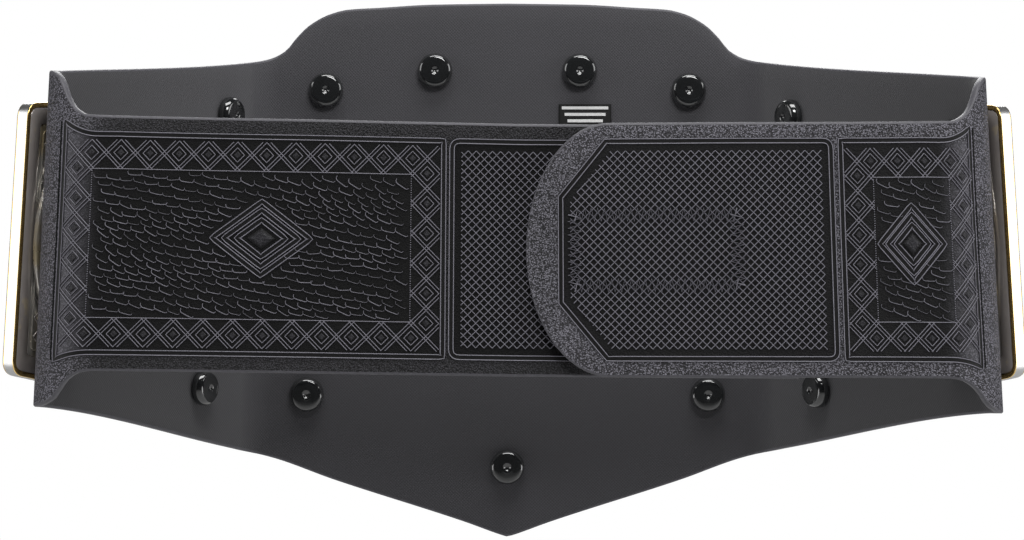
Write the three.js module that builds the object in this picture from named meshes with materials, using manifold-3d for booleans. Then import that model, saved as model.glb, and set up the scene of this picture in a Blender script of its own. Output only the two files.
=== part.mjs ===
// A championship title belt, closed in a loop as it is worn.
// Millimetres, +Z up. +Y points to the front of the loop (the main plate), -Y to the overlap at the rear,
// +X to the side of the overlapping tail. The origin is the middle of the loop, at half the height of the
// rear strap.
import * as THREE from 'three';
import { mergeVertices } from 'three/addons/utils/BufferGeometryUtils.js';
import Module from 'manifold-3d';

const wasm = await Module();
wasm.setup();

// Strap: thickness and the gap kept between pieces that touch
const strapWall = 2.8;
const seatGap = 0.3;

// How far joined pieces reach into each other, and how far cuts reach past a face
const joinDepth = 0.2;
const cutPast = 1;

// Sides of small round things and of coins
const roundSides = 12;
const coinSides = 36;

// Plan of the closed loop, from the front middle round one side to the rear middle
const frontHalf = 92;
const frontBendRadius = 14;
const sideAngle = THREE.MathUtils.degToRad(58);
const sideLength = 118.5;
const rearBendRadius = 20;

// The loop widens towards its lower edge, and its rear hangs a little to one side
const taperPerMm = 0.00028;
const rearShift = 3.9;
const rearRoll = 0.008;

// Heights of the strap's edges above and below its middle line
const crownHeight = 98.2;
const shoulderHeight = 76.2;
const sideTopHeight = 64.6;
const tailTopHeight = 47.0;
const rearHalfHeight = 44.8;
const pointDepth = 112.6;
const shoulderDepth = 78.4;
const sideBottomDepth = 58.2;
const tailBottomDepth = 44.0;

// Overlap of the two tails at the rear
const overlapEndFromMiddle = 2.8;
const overlapEndRound = 29.5;
const underTailReach = 98;
const padThickness = 2;
const padWidth = 61;
const padHeight = 26;
const padFromMiddle = 16.8;
const padLift = 1.5;

// Label on the inner face of the front panel
const labelWidth = 21;
const labelHeight = 36;
const labelThickness = 0.6;
const labelSide = 31;
const labelTop = 58.4;

// Fastener caps and their posts
const capRadius = 6.9;
const capHeight = 4.5;
const capTopRadius = 4.9;
const dimpleRadius = 1.6;
const dimpleDepth = 0.9;
const postRadius = 2.4;
const postClearance = 0.3;
const postEngagement = 3.2;
const bossWall = 2;

// Shoulder of a cap: share of its width turned in, share of its height
const capShoulderRows = [
  [0, 0.2],
  [0.25, 0.62],
  [0.62, 0.9],
];
const dimpleLip = 0.15;

// Main plate
const mainPlateHalfWidth = 91;
const mainPlateMargin = 9;
const mainPlateDepth = 5;
const mainPlateFace = 1.6;
const mainPlateWall = 2;
const mainRimWidth = 4.5;
const mainRimHeight = 1.4;
const crestShares = [0, 0.35, 0.6, 0.72, 0.8, 0.87, 0.93, 0.97, 1];
const crestLowShares = [0, 0.35, 1];
const crestLean = 0.55;
const mainMedallionRadius = 36;
const mainMedallionRise = 2.6;
const mainMedallionLift = 4;
const nameBarGap = 6;
const nameBarWidth = 13;
const nameBarHeight = 1.5;
const nameBarHalfAngle = THREE.MathUtils.degToRad(52);
const rosetteRadius = 8.5;
const rosetteHeight = 2.2;

// Medallions, as shares of their radius and rise
const coinRing = 0.1;
const coinStep = 0.75;
const coinField = 0.55;
const starOuter = 0.8;
const starInner = 0.34;
const starFrom = 0.3;
const starTo = 0.9;
const bossRadius = 0.2;
const bossFrom = 0.1;
const mainStarPoints = 8;
const sideStarPoints = 5;

// Side plates, measured along the flat side of the loop
const sidePlateNearOverhang = 15.4;
const sidePlateFarInset = 10;
const sidePlateFarSlant = 7;
const sidePlateNearHalf = 49;
const sidePlateFarHalf = 63;
const sidePlateCorner = 5.5;
const sidePlateDepth = 4;
const sidePlateFace = 1.4;
const sidePlateWall = 1.6;
const sideRimWidth = 4;
const sideRimHeight = 1.2;
const sidePlatePitch = THREE.MathUtils.degToRad(2);
const sideCapInset = 12.5;
const sideTopCapEdge = 6.7;
const sideBottomCapEdge = 10;
const sideNearCapInset = 21;
const sideNearCapEdge = 12.4;
const sideBossWall = 1.2;
const sidePostEngagement = 0.5;
const sideCornerLeast = 2;
const hubRadius = 50;
const hubThickness = 1.8;
const hubFromNearEdge = 56.5;
const backThickness = 1.6;
const backFlange = 6;
const backRecess = 0.8;
const sideMedallionRadius = 36;
const sideMedallionRise = 2.4;

// Places of the main caps: along as a share of frontHalf, height as a share of the crown or the point
const mainCapTable = [
  { along: 0.777, height: 0.652 },
  { along: 0.31, height: 0.73 },
  { along: -0.31, height: 0.73 },
  { along: -0.777, height: 0.652 },
  { along: 0.861, height: -0.498 },
  { along: -0.861, height: -0.498 },
  { along: 0, height: -0.753 },
];

// Places of the main rosettes, as shares of frontHalf and of the crown or the point
const rosetteTable = [
  { along: 0.68, height: 0 },
  { along: -0.68, height: 0 },
  { along: 0, height: -0.72 },
  { along: 0, height: 0.76 },
];

// Colours of the finishes
const leather = { color: 0x2a2a2d, roughness: 0.55, metalness: 0 };
const pad = { color: 0x151515, roughness: 0.95, metalness: 0 };
const gold = { color: 0xc9a24a, roughness: 0.25, metalness: 1 };
const silver = { color: 0xc8c8cc, roughness: 0.2, metalness: 1 };
const gloss = { color: 0x0c0c10, roughness: 0.1, metalness: 0 };
const smoky = { color: 0x8b8a86, roughness: 0.15, metalness: 0 };

const mix = THREE.MathUtils.lerp;

// Arc lengths where the plan changes, from the front middle
const sideStart = frontHalf + frontBendRadius * sideAngle;
const sideEnd = sideStart + sideLength;
const rearBendAngle = Math.PI - sideAngle;
const rearStart = sideEnd + rearBendRadius * rearBendAngle;

// The corners of the plan, worked out once
const plan = (() => {
  const x1 = frontHalf + frontBendRadius * Math.sin(sideAngle);
  const y1 = -frontBendRadius * (1 - Math.cos(sideAngle));
  const x2 = x1 + sideLength * Math.cos(sideAngle);
  const y2 = y1 - sideLength * Math.sin(sideAngle);
  const x3 = x2 - rearBendRadius * Math.sin(sideAngle);
  const y3 = y2 - rearBendRadius * (1 + Math.cos(sideAngle));
  return { x1, y1, x3, y3, halfDepth: -y3 / 2 };
})();
const loopHalf = rearStart + plan.x3;

// Point and outward direction of the plan's middle line at arc length s, one side only
function halfPlan(s) {
  const top = plan.halfDepth;
  if (s <= frontHalf) return { x: s, y: top, nx: 0, ny: 1 };
  if (s <= sideStart) {
    const turn = (s - frontHalf) / frontBendRadius;
    return {
      x: frontHalf + frontBendRadius * Math.sin(turn),
      y: top - frontBendRadius * (1 - Math.cos(turn)),
      nx: Math.sin(turn),
      ny: Math.cos(turn),
    };
  }
  if (s <= sideEnd) {
    const along = s - sideStart;
    return {
      x: plan.x1 + along * Math.cos(sideAngle),
      y: top + plan.y1 - along * Math.sin(sideAngle),
      nx: Math.sin(sideAngle),
      ny: Math.cos(sideAngle),
    };
  }
  if (s <= rearStart) {
    const turn = sideAngle + (s - sideEnd) / rearBendRadius;
    return {
      x: plan.x3 + rearBendRadius * Math.sin(turn),
      y: top + plan.y3 + rearBendRadius * (1 + Math.cos(turn)),
      nx: Math.sin(turn),
      ny: Math.cos(turn),
    };
  }
  return { x: plan.x3 - (s - rearStart), y: top + plan.y3, nx: 0, ny: -1 };
}

// The whole loop: s is positive round the overlapping side and negative round the other,
// and a tail may run on past the rear middle
function loopPlan(s) {
  let side = Math.sign(s) || 1;
  let along = Math.abs(s);
  if (along > loopHalf) {
    along = 2 * loopHalf - along;
    side = -side;
  }
  const p = halfPlan(along);
  return { x: side * p.x, y: p.y, nx: side * p.nx, ny: p.ny };
}

// A point of the belt: arc length s, height z and distance out from the strap's middle layer
function place(s, z, out) {
  const p = loopPlan(s);
  const scale = 1 - taperPerMm * z;
  const x = (p.x + p.nx * out) * scale;
  const y = (p.y + p.ny * out) * scale;
  const nearness = (plan.halfDepth - y) / (2 * plan.halfDepth);
  return new THREE.Vector3(x + rearShift * nearness, y, z - rearRoll * x * nearness);
}

// Smooth curve through rows of { at, height }, without overshoot
function throughRows(rows, s) {
  const last = rows.length - 1;
  if (s <= rows[0].at) return rows[0].height;
  if (s >= rows[last].at) return rows[last].height;
  const slope = (i) => (rows[i + 1].height - rows[i].height) / (rows[i + 1].at - rows[i].at);
  const tangent = (i) => {
    if (i === 0) return slope(0);
    if (i === last) return slope(last - 1);
    const before = slope(i - 1);
    const after = slope(i);
    return before * after <= 0 ? 0 : (2 * before * after) / (before + after);
  };
  let k = 0;
  while (s > rows[k + 1].at) k += 1;
  const span = rows[k + 1].at - rows[k].at;
  const t = (s - rows[k].at) / span;
  const a = rows[k].height;
  const b = rows[k + 1].height;
  return (
    a * (1 + 2 * t) * (1 - t) ** 2 +
    tangent(k) * span * t * (1 - t) ** 2 +
    b * t * t * (3 - 2 * t) -
    tangent(k + 1) * span * t * t * (1 - t)
  );
}

// Upper edge: crown, fillet to the shoulder, side, then the drop to the tail at the rear bend
const rearBendLength = rearStart - sideEnd;
const topRows = [
  { at: 0, height: crownHeight },
  { at: 0.33 * frontHalf, height: mix(shoulderHeight, crownHeight, 0.98) },
  { at: 0.56 * frontHalf, height: mix(shoulderHeight, crownHeight, 0.925) },
  { at: 0.7 * frontHalf, height: mix(shoulderHeight, crownHeight, 0.89) },
  { at: 0.78 * frontHalf, height: mix(shoulderHeight, crownHeight, 0.81) },
  { at: 0.87 * frontHalf, height: mix(shoulderHeight, crownHeight, 0.61) },
  { at: 0.925 * frontHalf, height: mix(shoulderHeight, crownHeight, 0.39) },
  { at: 0.973 * frontHalf, height: mix(shoulderHeight, crownHeight, 0.15) },
  { at: 1.035 * frontHalf, height: mix(shoulderHeight, crownHeight, 0.015) },
  { at: 1.11 * frontHalf, height: mix(sideTopHeight, shoulderHeight, 0.9) },
  { at: sideEnd, height: sideTopHeight },
  { at: sideEnd + 0.45 * rearBendLength, height: mix(tailTopHeight, sideTopHeight, 0.92) },
  { at: sideEnd + 0.6 * rearBendLength, height: mix(tailTopHeight, sideTopHeight, 0.77) },
  { at: sideEnd + 0.655 * rearBendLength, height: mix(tailTopHeight, sideTopHeight, 0.57) },
  { at: sideEnd + 0.71 * rearBendLength, height: mix(tailTopHeight, sideTopHeight, 0.34) },
  { at: sideEnd + 0.78 * rearBendLength, height: mix(tailTopHeight, sideTopHeight, 0.14) },
  { at: sideEnd + 0.9 * rearBendLength, height: tailTopHeight },
  { at: mix(rearStart, loopHalf, 0.6), height: mix(rearHalfHeight, tailTopHeight, 0.38) },
  { at: loopHalf, height: rearHalfHeight },
];

// Lower edge: the point, the slope to the side, then the rise to the tail
const bottomRows = [
  { at: 0, height: -pointDepth },
  { at: 0.03 * frontHalf, height: mix(-shoulderDepth, -pointDepth, 0.975) },
  { at: 0.18 * frontHalf, height: mix(-shoulderDepth, -pointDepth, 0.825) },
  { at: 0.73 * frontHalf, height: mix(-shoulderDepth, -pointDepth, 0.335) },
  { at: 0.985 * frontHalf, height: mix(-shoulderDepth, -pointDepth, 0.085) },
  { at: 1.12 * frontHalf, height: -shoulderDepth },
  { at: 1.26 * frontHalf, height: mix(-sideBottomDepth, -shoulderDepth, 0.885) },
  { at: sideEnd, height: -sideBottomDepth },
  { at: sideEnd + 0.5 * rearBendLength, height: mix(-tailBottomDepth, -sideBottomDepth, 0.9) },
  { at: sideEnd + 0.68 * rearBendLength, height: mix(-tailBottomDepth, -sideBottomDepth, 0.72) },
  { at: sideEnd + 0.76 * rearBendLength, height: mix(-tailBottomDepth, -sideBottomDepth, 0.43) },
  { at: sideEnd + 0.83 * rearBendLength, height: mix(-tailBottomDepth, -sideBottomDepth, 0.2) },
  { at: sideEnd + 0.91 * rearBendLength, height: mix(-tailBottomDepth, -sideBottomDepth, 0.05) },
  { at: sideEnd + 1.02 * rearBendLength, height: -tailBottomDepth },
  { at: loopHalf, height: -rearHalfHeight },
];

// The overlapping tail lies one layer further out, and its free end settles on the tail below
const lapOut = strapWall + padThickness + 2 * seatGap;
const lapEnd = loopHalf - overlapEndFromMiddle;
function layerOut(s) {
  const rise = THREE.MathUtils.smoothstep(s, sideEnd, rearStart + 0.1 * plan.x3);
  const settle = THREE.MathUtils.smoothstep(s, lapEnd - overlapEndRound / 2, lapEnd);
  return rise * mix(lapOut, strapWall + seatGap, settle);
}

// Edges of the strap at s, with the rounded free end of the overlapping tail
function strapEdges(s) {
  const along = Math.abs(s);
  let top = throughRows(topRows, along);
  let bottom = throughRows(bottomRows, along);
  const pastRound = s - (lapEnd - overlapEndRound);
  if (pastRound > 0) {
    const share = Math.sqrt(Math.max(0, 1 - (pastRound / overlapEndRound) ** 2));
    top *= share;
    bottom *= share;
  }
  return { top, bottom };
}

// Arc lengths of the strap's cross-sections, closer where it bends or its edge turns
function stretch(from, to, steps) {
  return Array.from({ length: steps }, (_, i) => mix(from, to, i / steps));
}
const oneSide = [
  ...stretch(0, 0.06 * frontHalf, 2),
  ...stretch(0.06 * frontHalf, 0.6 * frontHalf, 5),
  ...stretch(0.6 * frontHalf, frontHalf, 12),
  ...stretch(frontHalf, sideStart, 8),
  ...stretch(sideStart, sideEnd, 4),
  ...stretch(sideEnd, rearStart, 18),
  ...stretch(rearStart, lapEnd - overlapEndRound, 6),
];

// The free end is round, and its last section stops just short of the tip
const roundSteps = 12;
const tipShare = 0.974;
const roundEnd = Array.from({ length: roundSteps }, (_, i) => {
  const turn = ((Math.PI / 2) * tipShare * i) / (roundSteps - 1);
  return lapEnd - overlapEndRound * (1 - Math.sin(turn));
});
const stations = [
  -(loopHalf + underTailReach),
  ...oneSide.slice(1).reverse().map((s) => -s),
  ...oneSide,
  ...roundEnd,
];

// A closed body from cross-sections of equal corner count, with flat ends
function sweptSections(sections) {
  const corners = sections[0].length;
  const positions = sections.flat().flatMap((p) => [p.x, p.y, p.z]);
  const index = [];
  for (let i = 0; i < sections.length - 1; i += 1) {
    for (let j = 0; j < corners; j += 1) {
      const a = i * corners + j;
      const b = i * corners + ((j + 1) % corners);
      index.push(a, b, a + corners, b, b + corners, a + corners);
    }
  }
  const lastRow = (sections.length - 1) * corners;
  for (let j = 1; j < corners - 1; j += 1) {
    index.push(0, j + 1, j);
    index.push(lastRow, lastRow + j, lastRow + j + 1);
  }
  const geometry = new THREE.BufferGeometry();
  geometry.setAttribute('position', new THREE.Float32BufferAttribute(positions, 3));
  geometry.setIndex(index);
  return geometry;
}

// Shared vertices merged and empty triangles left out, as position only
function welded(geometry) {
  const bare = geometry.clone();
  bare.deleteAttribute('normal');
  bare.deleteAttribute('uv');
  const merged = mergeVertices(bare, 1e-4);
  const kept = [];
  const index = merged.index.array;
  for (let i = 0; i < index.length; i += 3) {
    const [a, b, c] = [index[i], index[i + 1], index[i + 2]];
    if (a !== b && b !== c && c !== a) kept.push(a, b, c);
  }
  merged.setIndex(kept);
  return merged;
}

function solidOf(geometry) {
  const merged = welded(geometry);
  const vertProperties = new Float32Array(merged.attributes.position.array);
  const triVerts = new Uint32Array(merged.index.array);
  return new wasm.Manifold(new wasm.Mesh({ numProp: 3, vertProperties, triVerts }));
}

function geometryOf(solid) {
  const mesh = solid.getMesh();
  const geometry = new THREE.BufferGeometry();
  const positions = [];
  for (let i = 0; i < mesh.vertProperties.length; i += mesh.numProp) {
    positions.push(mesh.vertProperties[i], mesh.vertProperties[i + 1], mesh.vertProperties[i + 2]);
  }
  geometry.setAttribute('position', new THREE.Float32BufferAttribute(positions, 3));
  geometry.setIndex(Array.from(mesh.triVerts));
  return geometry;
}

function union(...geometries) {
  return geometries.slice(1).reduce((sum, g) => sum.add(solidOf(g)), solidOf(geometries[0]));
}

const belt = new THREE.Group();

function addMesh(parent, name, geometry, finish) {
  const shown = geometry.clone();
  shown.computeVertexNormals();
  const mesh = new THREE.Mesh(shown, new THREE.MeshStandardMaterial(finish));
  mesh.name = name;
  parent.add(mesh);
  return mesh;
}

// A group whose +Z points out of the strap's outer face at s, +Y up the strap
function faceGroup(s, reach, pitch) {
  const origin = place(s, 0, strapWall / 2);
  const up = place(s, reach, strapWall / 2).sub(place(s, -reach, strapWall / 2));
  const onward = place(s + reach / 2, 0, strapWall / 2).sub(place(s - reach / 2, 0, strapWall / 2));
  const across = onward.negate();
  const outward = new THREE.Vector3().crossVectors(across, up).normalize();
  up.normalize();
  across.crossVectors(up, outward).normalize();
  const group = new THREE.Group();
  const turn = new THREE.Matrix4().makeBasis(across, up, outward);
  group.quaternion.setFromRotationMatrix(turn);
  group.rotateZ(pitch);
  group.position.copy(origin);
  group.updateMatrixWorld(true);
  belt.add(group);
  return group;
}

function disc(radius, height, sides, x, y, z) {
  const geometry = new THREE.CylinderGeometry(radius, radius, height, sides);
  geometry.rotateX(Math.PI / 2);
  geometry.translate(x, y, z + height / 2);
  return geometry;
}

function slab(shape, from, to, segments = 8) {
  const geometry = new THREE.ExtrudeGeometry(shape, {
    depth: to - from,
    bevelEnabled: false,
    curveSegments: segments,
  });
  geometry.translate(0, 0, from);
  return geometry;
}

// Cap with its post, around the local Z axis: the head lies inside the loop, the post points outwards
function capGeometry(postEnd) {
  const seat = -strapWall - seatGap;
  const crown = seat - capHeight;
  const shoulder = capRadius - capTopRadius;
  const profile = [
    [0, postEnd],
    [postRadius, postEnd],
    [postRadius, seat],
    [capRadius, seat],
    ...capShoulderRows.map(([inward, drop]) => [capRadius - inward * shoulder, seat - drop * capHeight]),
    [capTopRadius, crown],
    [dimpleRadius, crown + dimpleLip * dimpleDepth],
    [0, crown + dimpleDepth],
  ];
  const points = profile.map(([r, h]) => new THREE.Vector2(r, h));
  const geometry = new THREE.LatheGeometry(points.reverse(), roundSides);
  geometry.rotateX(Math.PI / 2);
  return welded(geometry);
}

function roundBar(radius, from, to, x, y) {
  return disc(radius, to - from, roundSides, x, y, from);
}

// Outline rounded at its corners
function roundedShape(corners, radius) {
  const shape = new THREE.Shape();
  const count = corners.length;
  corners.forEach((corner, i) => {
    const before = corners[(i + count - 1) % count];
    const after = corners[(i + 1) % count];
    const start = corner.clone().add(before.clone().sub(corner).setLength(radius));
    const end = corner.clone().add(after.clone().sub(corner).setLength(radius));
    if (i === 0) shape.moveTo(start.x, start.y);
    else shape.lineTo(start.x, start.y);
    shape.quadraticCurveTo(corner.x, corner.y, end.x, end.y);
  });
  shape.closePath();
  return shape;
}

// The strap's holes are cut once every post is known
const strapHoles = [];

function addCap(group, name, x, y, postEnd) {
  const cap = addMesh(group, name, capGeometry(postEnd), gloss);
  cap.position.set(x, y, 0);
  const hole = roundBar(postRadius + postClearance, -2 * strapWall, strapWall, x, y);
  strapHoles.push(hole.applyMatrix4(group.matrixWorld));
}

// Crest outline of the main plate: the front panel's own outline, held inside its edges
function crestPoints(inset) {
  const half = mainPlateHalfWidth - inset;
  const margin = mainPlateMargin + inset;
  const slant = 1 / Math.cos(Math.atan((pointDepth - shoulderDepth) / (1.05 * frontHalf)));
  const top = crestShares.map((share) => {
    const x = share * half;
    const here = throughRows(topRows, x);
    const steep = throughRows(topRows, x + 1) - here;
    return new THREE.Vector2(x, here - margin * Math.hypot(1, steep * crestLean));
  });
  const bottom = crestLowShares.map((share) => {
    const x = share * half;
    return new THREE.Vector2(x, throughRows(bottomRows, x) + margin * slant);
  });
  const right = [...bottom, ...top.reverse()];
  const left = right.map((p) => new THREE.Vector2(-p.x, p.y)).reverse();
  return [...right, ...left.slice(1, -1)];
}

function crestShape(inset) {
  return new THREE.Shape(crestPoints(inset));
}

// A band round a centre, over a span of angles either side of a direction
function arcBand(inner, outer, middle, halfAngle) {
  const shape = new THREE.Shape();
  shape.absarc(0, 0, outer, middle - halfAngle, middle + halfAngle, false);
  shape.absarc(0, 0, inner, middle + halfAngle, middle - halfAngle, true);
  shape.closePath();
  return shape;
}

function starShape(points, outer, inner) {
  const shape = new THREE.Shape();
  for (let i = 0; i < 2 * points; i += 1) {
    const radius = i % 2 === 0 ? outer : inner;
    const angle = Math.PI / 2 + (i * Math.PI) / points;
    const x = radius * Math.cos(angle);
    const y = radius * Math.sin(angle);
    if (i === 0) shape.moveTo(x, y);
    else shape.lineTo(x, y);
  }
  shape.closePath();
  return shape;
}

// Coin with a raised ring and a star, standing on z = 0
function coin(radius, rise, starPoints) {
  const ring = coinRing * radius;
  const slope = 0.3 * ring;
  const profile = [
    [0, 0],
    [radius, 0],
    [radius, coinStep * rise],
    [radius - slope, rise],
    [radius - ring, rise],
    [radius - ring - slope, coinField * rise],
    [0, coinField * rise],
  ];
  const body = new THREE.LatheGeometry(profile.map(([r, h]) => new THREE.Vector2(r, h)), coinSides);
  body.rotateX(Math.PI / 2);
  const starOutline = starShape(starPoints, starOuter * radius, starInner * radius);
  const star = slab(starOutline, starFrom * rise, starTo * rise);
  const boss = disc(bossRadius * radius, rise, roundSides, 0, 0, bossFrom * rise);
  return union(body, star, boss);
}

function buildMain() {
  const group = faceGroup(0, frontHalf / 2, 0);
  const back = seatGap;
  const faceBack = back + mainPlateDepth - mainPlateFace;
  const front = back + mainPlateDepth;
  const postEnd = back + postEngagement;
  const caps = mainCapTable.map(({ along, height }) => ({
    x: along * frontHalf,
    y: height * (height > 0 ? crownHeight : pointDepth),
  }));

  let plate = solidOf(slab(crestShape(0), back, front));
  plate = plate.subtract(solidOf(slab(crestShape(mainPlateWall), back - cutPast, faceBack)));
  for (const { x, y } of caps) {
    const hole = postRadius + postClearance;
    plate = plate.add(solidOf(roundBar(hole + bossWall, back, front - mainPlateFace / 2, x, y)));
    plate = plate.subtract(solidOf(roundBar(hole, back - cutPast, postEnd + seatGap, x, y)));
  }
  const rim = solidOf(slab(crestShape(0), front - joinDepth, front + mainRimHeight));
  const rimInside = slab(crestShape(mainRimWidth), front - cutPast, front + mainRimHeight + cutPast);
  plate = plate.add(rim.subtract(solidOf(rimInside)));

  const barInner = mainMedallionRadius + nameBarGap;
  const barOuter = barInner + nameBarWidth;
  for (const middle of [Math.PI / 2, -Math.PI / 2]) {
    const outline = arcBand(barInner, barOuter, middle, nameBarHalfAngle);
    const band = slab(outline, front - joinDepth, front + nameBarHeight, roundSides);
    band.translate(0, mainMedallionLift, 0);
    plate = plate.add(solidOf(band));
  }
  for (const { along, height } of rosetteTable) {
    const reach = height < 0 ? pointDepth : crownHeight;
    const y = height === 0 ? mainMedallionLift : height * reach;
    const tall = rosetteHeight + joinDepth;
    const rosette = disc(rosetteRadius, tall, 2 * roundSides, along * frontHalf, y, front - joinDepth);
    plate = plate.add(solidOf(rosette));
  }
  addMesh(group, 'main_plate', geometryOf(plate), gold);

  const medallion = geometryOf(coin(mainMedallionRadius, mainMedallionRise, mainStarPoints));
  const coinMesh = addMesh(group, 'main_medallion', medallion, silver);
  coinMesh.position.set(0, mainMedallionLift, front + seatGap);

  caps.forEach(({ x, y }, i) => addCap(group, `cap_main_${i + 1}`, x, y, postEnd));
}

// Side plates are drawn along the flat side from its middle: u runs from front to rear
const plateNear = sideLength / 2 + sidePlateNearOverhang;
const plateFar = -sideLength / 2 + sidePlateFarInset;
const plateFlare = (sidePlateFarHalf - sidePlateNearHalf) / (plateNear - plateFar);

// Half height and front edge of a side plate
function plateHalf(u) {
  return sidePlateNearHalf + (plateNear - u) * plateFlare;
}
function plateFront(v) {
  return plateFar - (sidePlateFarSlant / 2) * (v / sidePlateFarHalf);
}

// Outline of a side plate: tall at its front end, lower at its rear end; side is -1 on the left
function sideOutline(side, inset) {
  const near = plateNear - inset;
  const nearHalf = plateHalf(near) - inset;
  const farTop = plateFront(sidePlateFarHalf) + inset;
  const farBottom = plateFront(-sidePlateFarHalf) + inset;
  const corners = [
    new THREE.Vector2(near, -nearHalf),
    new THREE.Vector2(near, nearHalf),
    new THREE.Vector2(farTop, plateHalf(farTop) - inset),
    new THREE.Vector2(farBottom, -plateHalf(farBottom) + inset),
  ];
  const turned = side < 0 ? corners : corners.map((c) => new THREE.Vector2(-c.x, c.y)).reverse();
  return roundedShape(turned, Math.max(sideCornerLeast, sidePlateCorner - inset));
}

function buildSide(side, label) {
  const middle = side * (sideStart + sideLength / 2);
  const group = faceGroup(middle, sideLength / 3, -side * sidePlatePitch);
  const local = -side;
  const back = seatGap + hubThickness + seatGap;
  const faceBack = back + sidePlateDepth - sidePlateFace;
  const front = back + sidePlateDepth;
  const bossBack = back + backThickness + seatGap;
  const postEnd = bossBack + sidePostEngagement;
  const caps = [1, -1].flatMap((up) => {
    const farU = plateFront(up * sidePlateFarHalf) + sideCapInset;
    const nearU = plateNear - sideNearCapInset;
    const farEdge = up > 0 ? sideTopCapEdge : sideBottomCapEdge;
    return [
      { x: local * farU, y: up * (plateHalf(farU) - farEdge) },
      { x: local * nearU, y: up * (plateHalf(nearU) - sideNearCapEdge) },
    ];
  });
  const holeRadius = postRadius + postClearance;

  let shell = solidOf(slab(sideOutline(side, 0), back, front));
  shell = shell.subtract(solidOf(slab(sideOutline(side, sidePlateWall), back - cutPast, faceBack)));
  for (const { x, y } of caps) {
    const boss = roundBar(holeRadius + sideBossWall, bossBack, front - sidePlateFace / 2, x, y);
    shell = shell.add(solidOf(boss));
    shell = shell.subtract(solidOf(roundBar(holeRadius, back, postEnd + seatGap, x, y)));
  }
  const rim = solidOf(slab(sideOutline(side, 0), front - joinDepth, front + sideRimHeight));
  const rimInside = slab(sideOutline(side, sideRimWidth), front - cutPast, front + sideRimHeight + cutPast);
  shell = shell.add(rim.subtract(solidOf(rimInside)));
  addMesh(group, `side_plate_${label}`, geometryOf(shell), gold);

  const hubX = local * (plateNear - hubFromNearEdge);
  const medallion = addMesh(
    group,
    `side_medallion_${label}`,
    geometryOf(coin(sideMedallionRadius, sideMedallionRise, sideStarPoints)),
    silver,
  );
  medallion.position.set(hubX, 0, front + seatGap);

  let cover = solidOf(slab(sideOutline(side, sidePlateWall + seatGap), back, back + backThickness));
  const recess = sideOutline(side, sidePlateWall + seatGap + backFlange);
  cover = cover.subtract(solidOf(slab(recess, back - cutPast, back + backRecess)));
  for (const { x, y } of caps) {
    const coverFront = back + backThickness;
    cover = cover.add(solidOf(roundBar(holeRadius + bossWall, back, coverFront, x, y)));
    cover = cover.subtract(solidOf(roundBar(holeRadius, back - cutPast, coverFront + cutPast, x, y)));
  }
  addMesh(group, `side_back_${label}`, geometryOf(cover), smoky);

  const hubDisc = disc(hubRadius, hubThickness, coinSides, hubX, 0, seatGap);
  addMesh(group, `side_hub_${label}`, hubDisc, gloss);

  caps.forEach(({ x, y }, i) => addCap(group, `cap_${label}_${i + 1}`, x, y, postEnd));
}

function buildStrap() {
  const sections = stations.map((s) => {
    const { top, bottom } = strapEdges(s);
    const middle = layerOut(s);
    const inner = middle - strapWall / 2;
    const outer = middle + strapWall / 2;
    return [place(s, bottom, inner), place(s, bottom, outer), place(s, top, outer), place(s, top, inner)];
  });
  let strap = solidOf(sweptSections(sections));
  for (const hole of strapHoles) strap = strap.subtract(solidOf(hole));
  addMesh(belt, 'strap', geometryOf(strap), leather);
}

// A thin patch lying along the strap between two arc lengths and two heights
function patch(from, to, low, high, inner, outer) {
  const steps = 3;
  const sections = [];
  for (let i = 0; i <= steps; i += 1) {
    const s = mix(from, to, i / steps);
    sections.push([place(s, low, inner), place(s, low, outer), place(s, high, outer), place(s, high, inner)]);
  }
  return sweptSections(sections);
}

function buildPatches() {
  const padInner = strapWall / 2 + seatGap;
  const padEnd = loopHalf - padFromMiddle;
  const padLow = padLift - padHeight / 2;
  addMesh(
    belt,
    'closure_pad',
    welded(
      patch(padEnd - padWidth, padEnd, padLow, padLow + padHeight, padInner, padInner + padThickness),
    ),
    pad,
  );
  const labelOuter = -strapWall / 2 - seatGap;
  const labelInner = labelOuter - labelThickness;
  const from = labelSide - labelWidth / 2;
  const low = labelTop - labelHeight;
  addMesh(belt, 'label', welded(patch(from, from + labelWidth, low, labelTop, labelInner, labelOuter)), pad);
}

buildMain();
buildSide(-1, 'left');
buildSide(1, 'right');
buildStrap();
buildPatches();

export default belt;
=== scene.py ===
"""The looks of a championship title belt, closed in a loop as it is worn.

Sizes are in millimetres until a mesh is made. s is the arc length from the front middle, positive round the
overlapping tail. The tooling of the tails is drawn flat in (x, v) and laid on by wrap().
"""

import math

import bmesh
import bpy
import numpy as np
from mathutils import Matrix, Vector


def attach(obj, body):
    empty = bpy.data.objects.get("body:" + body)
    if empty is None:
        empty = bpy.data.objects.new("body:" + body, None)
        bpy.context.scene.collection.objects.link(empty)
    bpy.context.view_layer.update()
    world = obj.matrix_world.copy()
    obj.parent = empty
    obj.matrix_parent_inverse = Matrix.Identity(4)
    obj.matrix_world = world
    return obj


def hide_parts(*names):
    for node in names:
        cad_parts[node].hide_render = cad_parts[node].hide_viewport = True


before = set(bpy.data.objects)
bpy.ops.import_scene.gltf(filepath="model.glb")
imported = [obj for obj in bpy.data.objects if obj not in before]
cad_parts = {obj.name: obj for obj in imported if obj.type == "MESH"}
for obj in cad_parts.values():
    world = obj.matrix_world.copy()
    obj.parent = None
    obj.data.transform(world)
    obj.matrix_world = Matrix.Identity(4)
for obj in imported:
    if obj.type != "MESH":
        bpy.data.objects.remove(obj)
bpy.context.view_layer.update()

MM = 0.001
BODY = "root"

# Strap and the gap between pieces that touch
WALL = 2.8
GAP = 0.3

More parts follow.
